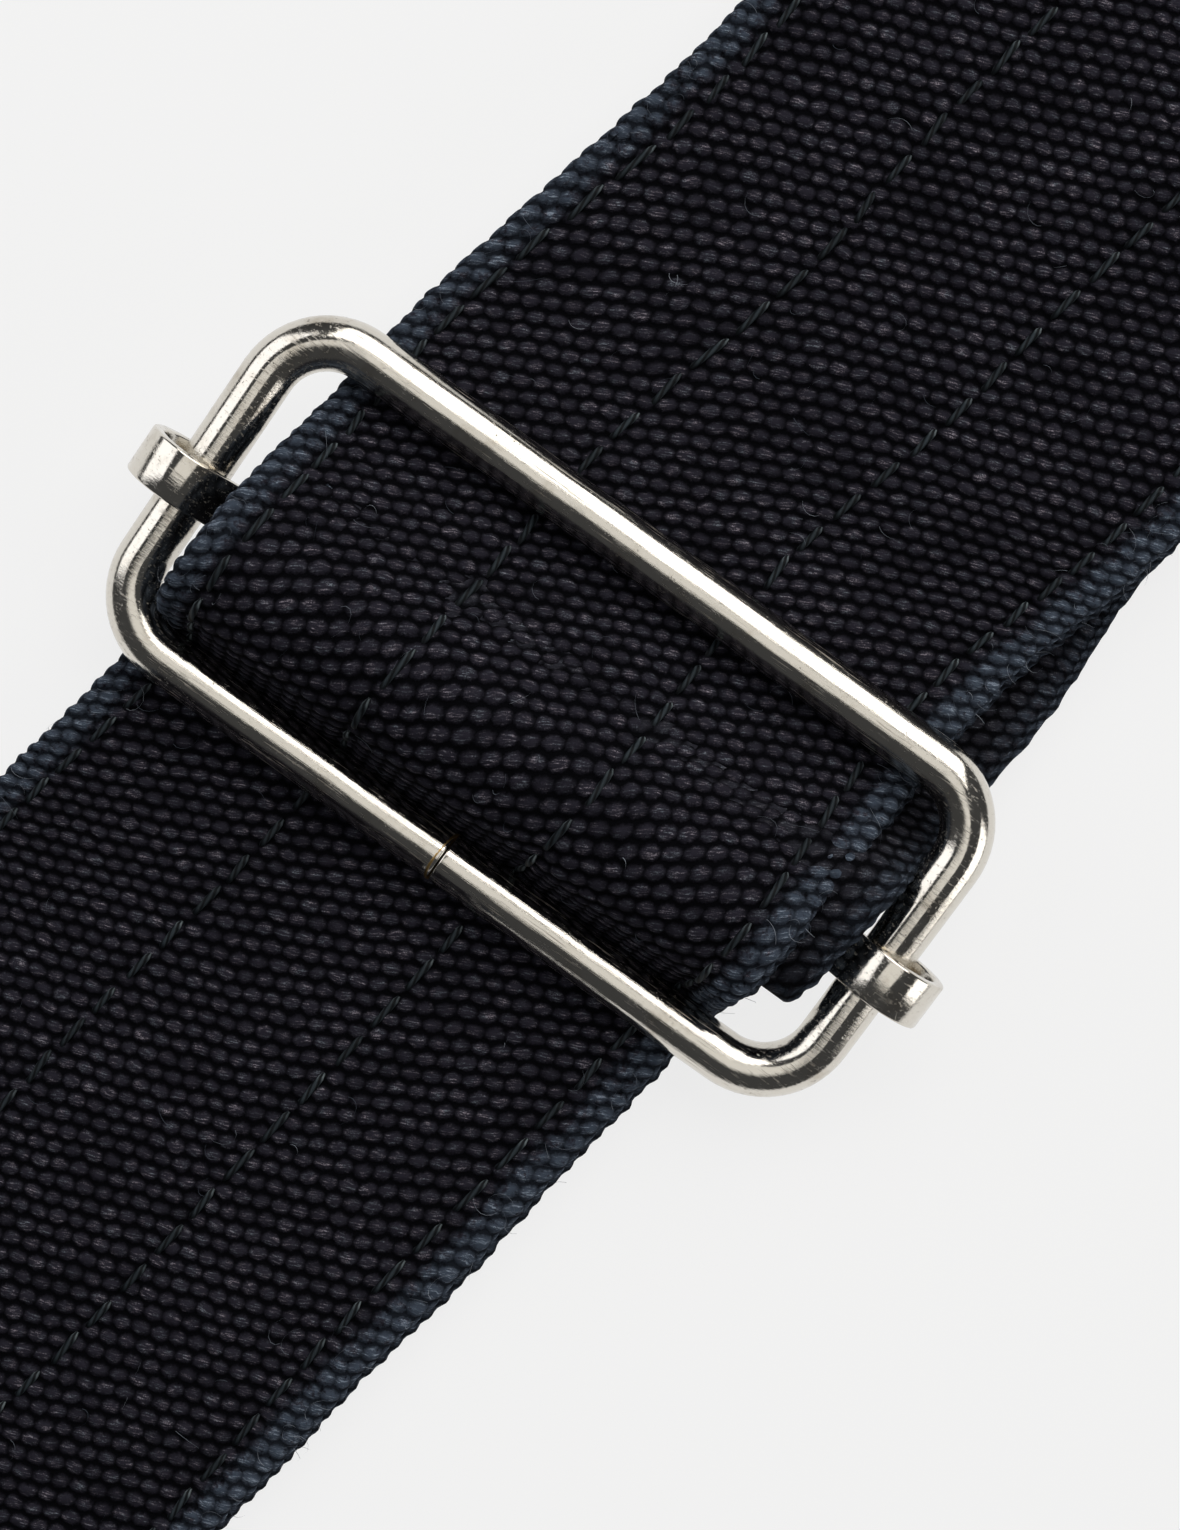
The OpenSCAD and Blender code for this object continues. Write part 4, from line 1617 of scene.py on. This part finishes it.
@dataclass
class CentreBar:
    """The slider's centre bar: a plate whose two tongues curl round the side wires."""

    name: str = "curled_centre_bar"
    plate_end: float = 25.6
    ramp_y: float = 26.6
    ramp_r: float = 1.2
    curl_end: float = 205.0
    edge_r: float = 0.16
    shoulder: float = 0.5

    def build(self) -> bpy.types.Object:
        """Cuts, bends and thickens the strip, and lays it across the frame."""
        z = SIZES
        bm = bmesh.new()
        bottom = z.bar_lift - z.bar_t / 2
        verts = [bm.verts.new((z.bar_u + s * z.bar_w / 2, 0, bottom)) for s in (-1, 0, 1)]
        strip = [bm.edges.new(verts[:2]), bm.edges.new(verts[1:])]
        strip = drawn(bm, strip, Vector((0, self.plate_end - self.shoulder, 0)), 4)
        for width in (z.bar_w - self.shoulder, z.tongue_w):
            strip = drawn(bm, strip, Vector((0, self.shoulder / 2, 0)), 1)
            self.narrow(strip, width)
        strip = drawn(bm, strip, Vector((0, self.ramp_y - self.plate_end, 0)), 2)
        curl_y, curl_r = z.frame_l / 2 + 0.9, z.wire_r + 0.9
        over, up = self.ramp_r + z.bar_t / 2, z.bar_lift + self.ramp_r
        reach = math.hypot(curl_y - self.ramp_y, up)
        slope = math.asin((curl_r + over) / reach) - math.atan2(up, curl_y - self.ramp_y)
        along_bar = Vector((1, 0, 0))
        strip = swung(bm, strip, Vector((0, self.ramp_y, up)), along_bar, slope, 5)
        leg = math.sqrt(reach ** 2 - (curl_r + over) ** 2)
        strip = drawn(bm, strip, Vector((0, math.cos(slope), math.sin(slope))) * leg, 3)
        swung(bm, strip, Vector((0, curl_y, 0)), along_bar, -slope - math.radians(self.curl_end), 26)
        bmesh.ops.remove_doubles(bm, verts=bm.verts, dist=1e-4)
        bmesh.ops.mirror(bm, geom=bm.verts[:] + bm.edges[:] + bm.faces[:], axis="Y", merge_dist=1e-4)
        bmesh.ops.remove_doubles(bm, verts=bm.verts, dist=1e-4)
        bmesh.ops.recalc_face_normals(bm, faces=bm.faces)
        middle = min(bm.faces, key=lambda f: abs(f.calc_center_median().y))
        if middle.normal.z > 0:
            bmesh.ops.reverse_faces(bm, faces=bm.faces)
        bmesh.ops.solidify(bm, geom=bm.faces[:], thickness=z.bar_t)
        bmesh.ops.recalc_face_normals(bm, faces=bm.faces)
        sharp = [e for e in bm.edges if len(e.link_faces) == 2 and e.calc_face_angle() > math.radians(50)]
        bevel(bm, sharp, self.edge_r, 2)
        bmesh.ops.transform(bm, matrix=Matrix.Scale(MM, 4) @ slider_place(), verts=bm.verts)
        return finished(bm, self.name)

    @staticmethod
    def narrow(strip: list[bmesh.types.BMEdge], width: float) -> None:
        """Narrows the strip's end.

        Args:
            strip: Edges of the end.
            width: The width that it gets.
        """
        verts = list(dict.fromkeys(v for e in strip for v in e.verts))
        share = width / (max(v.co.x for v in verts) - min(v.co.x for v in verts))
        for vert in verts:
            vert.co.x = SIZES.bar_u + (vert.co.x - SIZES.bar_u) * share


@dataclass
class Metalwork:
    """Slider and tail ring."""

    def build(self) -> list[bpy.types.Object]:
        """Makes the frame, the centre bar and the ring."""
        z = SIZES
        slider = WireLoop("slider_wire", z.frame_l, z.frame_w, z.frame_corner).build(slider_place())
        joint = self.joint_line()
        bar = CentreBar().build()
        tilt = math.asin((z.ring_z - z.ring_far_z) / z.ring_w)
        place = (Matrix.Translation((z.ring_x + SLIDER_X, 0, z.ring_z)) @ Matrix.Rotation(tilt, 4, "Y")
                 @ Matrix.Translation((z.ring_w / 2, 0, 0)) @ Matrix.Rotation(math.pi, 4, "Z"))
        ring = WireLoop("ring_wire", z.ring_l, z.ring_w, z.ring_corner).build(place)
        fit(slider, Finish.SLIDER_NICKEL, "slider_frame", "wire_frame")
        fit(joint, Finish.BRASS, "slider_frame", "wire_frame")
        fit(bar, Finish.SLIDER_NICKEL, "slider_centre_bar", "centre_bar")
        fit(ring, Finish.RING_NICKEL, "tail_ring", "wire_ring")
        return [slider, joint, bar, ring]

    @staticmethod
    def joint_line() -> bpy.types.Object:
        """Makes the thin line of bare brass where the frame's wire ends meet."""
        z = SIZES
        bm = bmesh.new()
        stand = Matrix.Translation((-z.frame_w / 2, 0, 0)) @ Matrix.Rotation(math.radians(77), 4, "X")
        bmesh.ops.create_cone(bm, cap_ends=True, segments=40, radius1=z.wire_r + 0.035,
                              radius2=z.wire_r + 0.035, depth=0.22,
                              matrix=Matrix.Scale(MM, 4) @ slider_place() @ stand)
        rims = [e for e in bm.edges if any(len(f.verts) > 4 for f in e.link_faces)]
        bevel(bm, rims, 0.05 * MM, 2)
        return finished(bm, "slider_joint_line")


# --------------------------------------------------------------------------- leather

@dataclass
class Outline:
    """Half width of a tab at a distance from its tip."""

    length: float
    parallel: float

    def half_width(self, d: Numbers) -> Numbers:
        """Half width: a round tip, a taper that touches it, then parallel sides.

        Args:
            d: Distances from the tip.

        Returns:
            Half widths.
        """
        r, half = SIZES.tip_r, SIZES.tab_w / 2
        far = self.length - r - self.parallel
        touch = math.atan2(half, far) + math.acos(r / math.hypot(far, half))
        x = np.clip(d, 0, self.length) - r
        tip = np.sqrt(np.maximum(r * r - x * x, 0))
        taper = np.interp(x, [r * math.cos(touch), far], [r * math.sin(touch), half])
        return np.where(x < r * math.cos(touch), tip, taper)


@dataclass
class Leaf:
    """One layer of a leather tab, bent along a route that ends at its tip."""

    name: str
    route: Route
    outline: Outline
    squareness: float = 0.42
    top: int = 36
    edge: int = 8
    slit_w: float = 1.2

    def stations(self) -> Numbers:
        """Distances of the rows, close together round the tip."""
        tip = SIZES.tip_r * (1 - np.cos(np.linspace(0, math.pi / 2, 22)))
        back = np.arange(SIZES.tip_r + 1.2, self.route.length, 1.2)
        return np.sort(self.route.length - np.concatenate([tip, back, [self.route.length]]))

    def skin(self, copy: Numbers, column: Numbers, row: Numbers) -> Skin:
        """Places the leaf's points, with a slightly uneven face and softened edges.

        Args:
            copy: Number of the tube, for every point; not used.
            column: Number of the column round it.
            row: Number of the row along it.

        Returns:
            The points with their yarn coordinates.
        """
        s = self.stations()[row]
        section = PlySection(-SIZES.leather_t / 2, SIZES.leather_t / 2, self.top, self.edge, self.top)
        share, out_y, out_n = section.outline(column)
        half = self.outline.half_width(self.route.length - s)
        r = np.minimum(section.radius, half)
        square_y = np.sign(out_y) * np.abs(out_y) ** self.squareness
        square_n = np.sign(out_n) * np.abs(out_n) ** self.squareness
        y = share * (half - r) + square_y * r
        n = square_n * section.radius + 0.06 * BILLOW(s * 1.1, y * 1.2)
        x, z, heading = self.route.at(s)
        points = np.stack([x - n * np.sin(heading) + SLIDER_X, y, z + n * np.cos(heading)], axis=-1) * MM
        return Skin(points, np.stack([y, s], axis=1))

    def build(self, hole: Matrix) -> bpy.types.Object:
        """Makes the leaf and punches its button hole and slit.

        Args:
            hole: From the hole's own frame, its slit towards +X, to the part's, in millimetres.

        Returns:
            The finished leaf.
        """
        columns = 2 * (self.top + self.edge)
        leaf = swept(self.name, columns, len(self.stations()) - 1, 1, self.skin)
        place = Matrix.Scale(MM, 4) @ hole
        punch, knife = bmesh.new(), bmesh.new()
        bmesh.ops.create_cone(punch, cap_ends=True, segments=48, radius1=SIZES.button_r,
                              radius2=SIZES.button_r, depth=40, matrix=place)
        length = SIZES.button_r + SIZES.slit_l
        bmesh.ops.create_cube(knife, size=1, matrix=place @ Matrix.Translation((length / 2, 0, 0))
                              @ Matrix.Diagonal((length, self.slit_w, 41, 1)))
        for cutter in (finished(punch, "punch"), finished(knife, "slit_knife")):
            cut = leaf.modifiers.new("cut", "BOOLEAN")
            cut.operation, cut.solver, cut.object = "DIFFERENCE", "EXACT", cutter
            graph = bpy.context.evaluated_depsgraph_get()
            mesh = bpy.data.meshes.new_from_object(leaf.evaluated_get(graph))
            leaf.modifiers.remove(cut)
            leaf.data = mesh
            bpy.data.objects.remove(cutter)
        return leaf


@dataclass
class StitchBox:
    """Heavy stitches round a rectangle on a tab."""

    name: str
    x0: float
    x1: float
    z: float
    pitch: float = 3.6
    stitch_l: float = 3.0
    thread_r: float = 0.36
    columns: int = 8
    rows: int = 8

    def lines(self) -> tuple[Numbers, Numbers]:
        """Starts and directions of the stitches."""
        half = SIZES.tab_w / 2 - 4
        corners = [(self.x0, -half), (self.x1, -half), (self.x1, half), (self.x0, half), (self.x0, -half)]
        starts, ways = [], []
        for (ax, ay), (bx, by) in zip(corners[:-1], corners[1:]):
            length = math.hypot(bx - ax, by - ay)
            way = ((bx - ax) / length, (by - ay) / length)
            count = max(1, round(length / self.pitch))
            for k in range(count):
                at = (k + 0.5) * length / count - self.stitch_l / 2
                starts.append((ax + way[0] * at, ay + way[1] * at))
                ways.append(way)
        return np.array(starts), np.array(ways)

    def skin(self, copy: Numbers, column: Numbers, row: Numbers) -> Skin:
        """Places the stitches, both ends sunk into the leather.

        Args:
            copy: Number of the tube, for every point.
            column: Number of the column round it.
            row: Number of the row along it.

        Returns:
            The points with their yarn coordinates.
        """
        starts, ways = self.lines()
        t = row / self.rows
        angle = 2 * math.pi * column / self.columns
        r = self.thread_r * np.clip(np.sin(math.pi * t) * 3 + 0.5, 0, 1)
        way = ways[copy]
        middle = starts[copy] + way * (t * self.stitch_l)[:, None]
        across = np.stack([-way[:, 1], way[:, 0]], axis=1) * (r * np.cos(angle))[:, None]
        height = self.z + 0.10 - 0.5 * np.abs(2 * t - 1) ** 4 + 0.85 * r * np.sin(angle)
        flat = middle + across
        points = np.stack([flat[:, 0] + SLIDER_X, flat[:, 1], height], axis=1) * MM
        return Skin(points, np.stack([column / self.columns + copy, t], axis=1))

    def build(self) -> bpy.types.Object:
        """Makes the stitches as one piece."""
        return swept(self.name, self.columns, self.rows, len(self.lines()[0]), self.skin)


@dataclass
class LeatherTabs:
    """Both button tabs: an outer leaf, a lining and their stitching."""

    hole_inset: float = 15.0
    made: list[bpy.types.Object] = field(default_factory=list)

    def tab(self, end: str, body: str, outer: Route, lining: Route, outline: Outline,
            box: tuple[float, float, float], inward: float) -> None:
        """Makes one tab.

        Args:
            end: Which tab, for its names.
            body: The body it moves with.
            outer: Route of the outer leaf, to its tip.
            lining: Route of the lining, to its tip.
            outline: The tab's outline.
            box: Near and far side and height of the box of stitches.
            inward: Turn of the slit about Z, in radians.
        """
        tip = outer.points[-1, 0]
        hole_x = tip + self.hole_inset * math.cos(inward) + SLIDER_X
        hole = Matrix.Translation((hole_x, 0, 0)) @ Matrix.Rotation(inward, 4, "Z")
        leaves = [Leaf(f"{end}_outer_leaf", outer, outline).build(hole),
                  Leaf(f"{end}_lining_leaf", lining, outline).build(hole)]
        stitches = StitchBox(f"{end}_tab_stitches", *box).build()
        fit(leaves[0], Finish.LEATHER, f"{end}_tab_outer", body)
        fit(leaves[1], Finish.LINING, f"{end}_tab_lining", body)
        fit(stitches, Finish.THREAD, f"{end}_tab_stitching", body)
        self.made += [*leaves, stitches]

    def build(self) -> list[bpy.types.Object]:
        """Makes the front tab and the tail tab."""
        z, t = SIZES, SIZES.leather_t
        end = z.front_end_x
        grip, tip = end + StrapRoutes.tab_grip, end - 76
        over_strap = 1.5 * t + z.strap_t
        front = Route.belt([
            Bend(grip - 2, over_strap),
            Bend(end - 4, over_strap - 18, 18),
            Bend(end - 22, 1.5 * t + 18, 18, Side.RIGHT),
            Bend(tip, 1.5 * t)])
        lining = Route.belt([Bend(grip - 2, t / 2), Bend(tip, t / 2)])
        self.tab("front", "long_run", front, lining, Outline(grip - tip, 34),
                 (end + 3, end + 23, 2 * t + z.strap_t), 0.0)
        far_bar = z.ring_x + z.ring_w
        fold, tail_tip = far_bar + 32, far_bar + 89
        leaf = fold + 18
        tail = Route.belt([
            Bend(leaf, t / 2),
            Bend(far_bar, z.ring_far_z, z.wire_r + z.gap + t / 2, Side.RIGHT),
            Bend(fold, 1.5 * t + 30, 30),
            Bend(tail_tip, 1.5 * t)])
        under = Route.belt([Bend(leaf + 0.5, t / 2), Bend(tail_tip, t / 2)])
        self.tab("tail", "tail_tab", tail, under, Outline(tail_tip - far_bar + 8, 58),
                 (fold + 1, leaf - 2, 2 * t), math.pi)
        return self.made


# --------------------------------------------------------------------------- stage

@dataclass
class Studio:
    """Camera, floor and lights."""

    height: float = 0.215
    view_height: float = 0.1117
    focus_z: float = 0.005
    turn: float = -46.0
    aim: tuple[float, float] = (0.0793, -0.0057)
    sky: float = 0.06
    backdrop: float = 0.82

    def camera(self) -> None:
        """Hangs the camera straight over the slider."""
        data = bpy.data.cameras.new("camera")
        data.sensor_width = 36.0
        data.lens = 36.0 * (self.height - self.focus_z) / self.view_height
        data.clip_start, data.clip_end = 0.01, 10.0
        camera = bpy.data.objects.new("camera", data)
        camera.location = (*self.aim, self.height)
        camera.rotation_euler = (0, 0, math.radians(self.turn))
        bpy.context.scene.collection.objects.link(camera)
        bpy.context.scene.camera = camera

    def floor(self) -> None:
        """Lays a pale, even floor."""
        bm = bmesh.new()
        bmesh.ops.create_grid(bm, x_segments=8, y_segments=8, size=4.0,
                              matrix=Matrix.Translation((0.08, 0, -0.0002)))
        floor = finished(bm, "floor", smooth=False)
        look = Look("floor")
        look.feed(Base_Color=(0.12, 0.12, 0.12), Roughness=0.9, Specular_IOR_Level=0.0,
                  Emission_Color=(1.0, 1.0, 1.0), Emission_Strength=0.79)
        floor.data.materials.append(look.material)

    def light(self, name: str, place: tuple[float, float, float], size: float, power: float,
              colour: Colour) -> None:
        """Hangs a soft square light that points at the slider.

        Args:
            name: The light's name.
            place: Its place from the point it lights.
            size: Its side.
            power: Its power in watts.
            colour: Its colour.
        """
        data = bpy.data.lights.new(name, "AREA")
        data.shape, data.size, data.energy, data.color = "SQUARE", size, power, colour
        lamp = bpy.data.objects.new(name, data)
        target = Vector((*self.aim, 0.0))
        lamp.location = target + Vector(place)
        lamp.rotation_euler = (-Vector(place)).to_track_quat("-Z", "Y").to_euler()
        bpy.context.scene.collection.objects.link(lamp)

    def lights(self) -> None:
        """Sets the sky and the lamps."""
        world = bpy.data.worlds.new("studio")
        bpy.context.scene.world = world
        world.use_nodes = True
        tree = world.node_tree
        background = tree.nodes["Background"]
        background.inputs[0].default_value = (0.95, 0.97, 1.0, 1.0)
        ray = tree.nodes.new("ShaderNodeLightPath")
        strength = tree.nodes.new("ShaderNodeMapRange")
        strength.inputs["To Min"].default_value = self.sky
        strength.inputs["To Max"].default_value = self.backdrop
        tree.links.new(ray.outputs["Is Camera Ray"], strength.inputs["Value"])
        tree.links.new(strength.outputs["Result"], background.inputs[1])
        self.light("key", (0.50, 0.12, 0.52), 0.75, 4.6, (1.0, 0.98, 0.95))
        self.light("side", (-0.15, 0.60, 0.42), 0.60, 1.7, (0.98, 0.98, 1.0))
        self.light("right", (0.15, -0.60, 0.24), 0.38, 0.9, (1.0, 0.98, 0.96))
        self.light("top", (-0.05, 0.0, 0.9), 0.55, 0.8, (1.0, 0.98, 0.94))
        bpy.context.scene.view_settings.view_transform = "Standard"


def report(pieces: Sequence[bpy.types.Object]) -> None:
    """Logs the pieces of a sub-assembly."""
    for piece in pieces:
        LOG.info("%s: %d faces", piece.name, len(piece.data.polygons))


def main() -> None:
    """Builds the scene."""
    logging.basicConfig(level=logging.INFO, format="%(message)s")
    studio = Studio()
    studio.camera()
    studio.floor()
    studio.lights()
    report(Canvas().build())
    report(Metalwork().build())
    report(LeatherTabs().build())


if __name__ == "__main__":
    main()
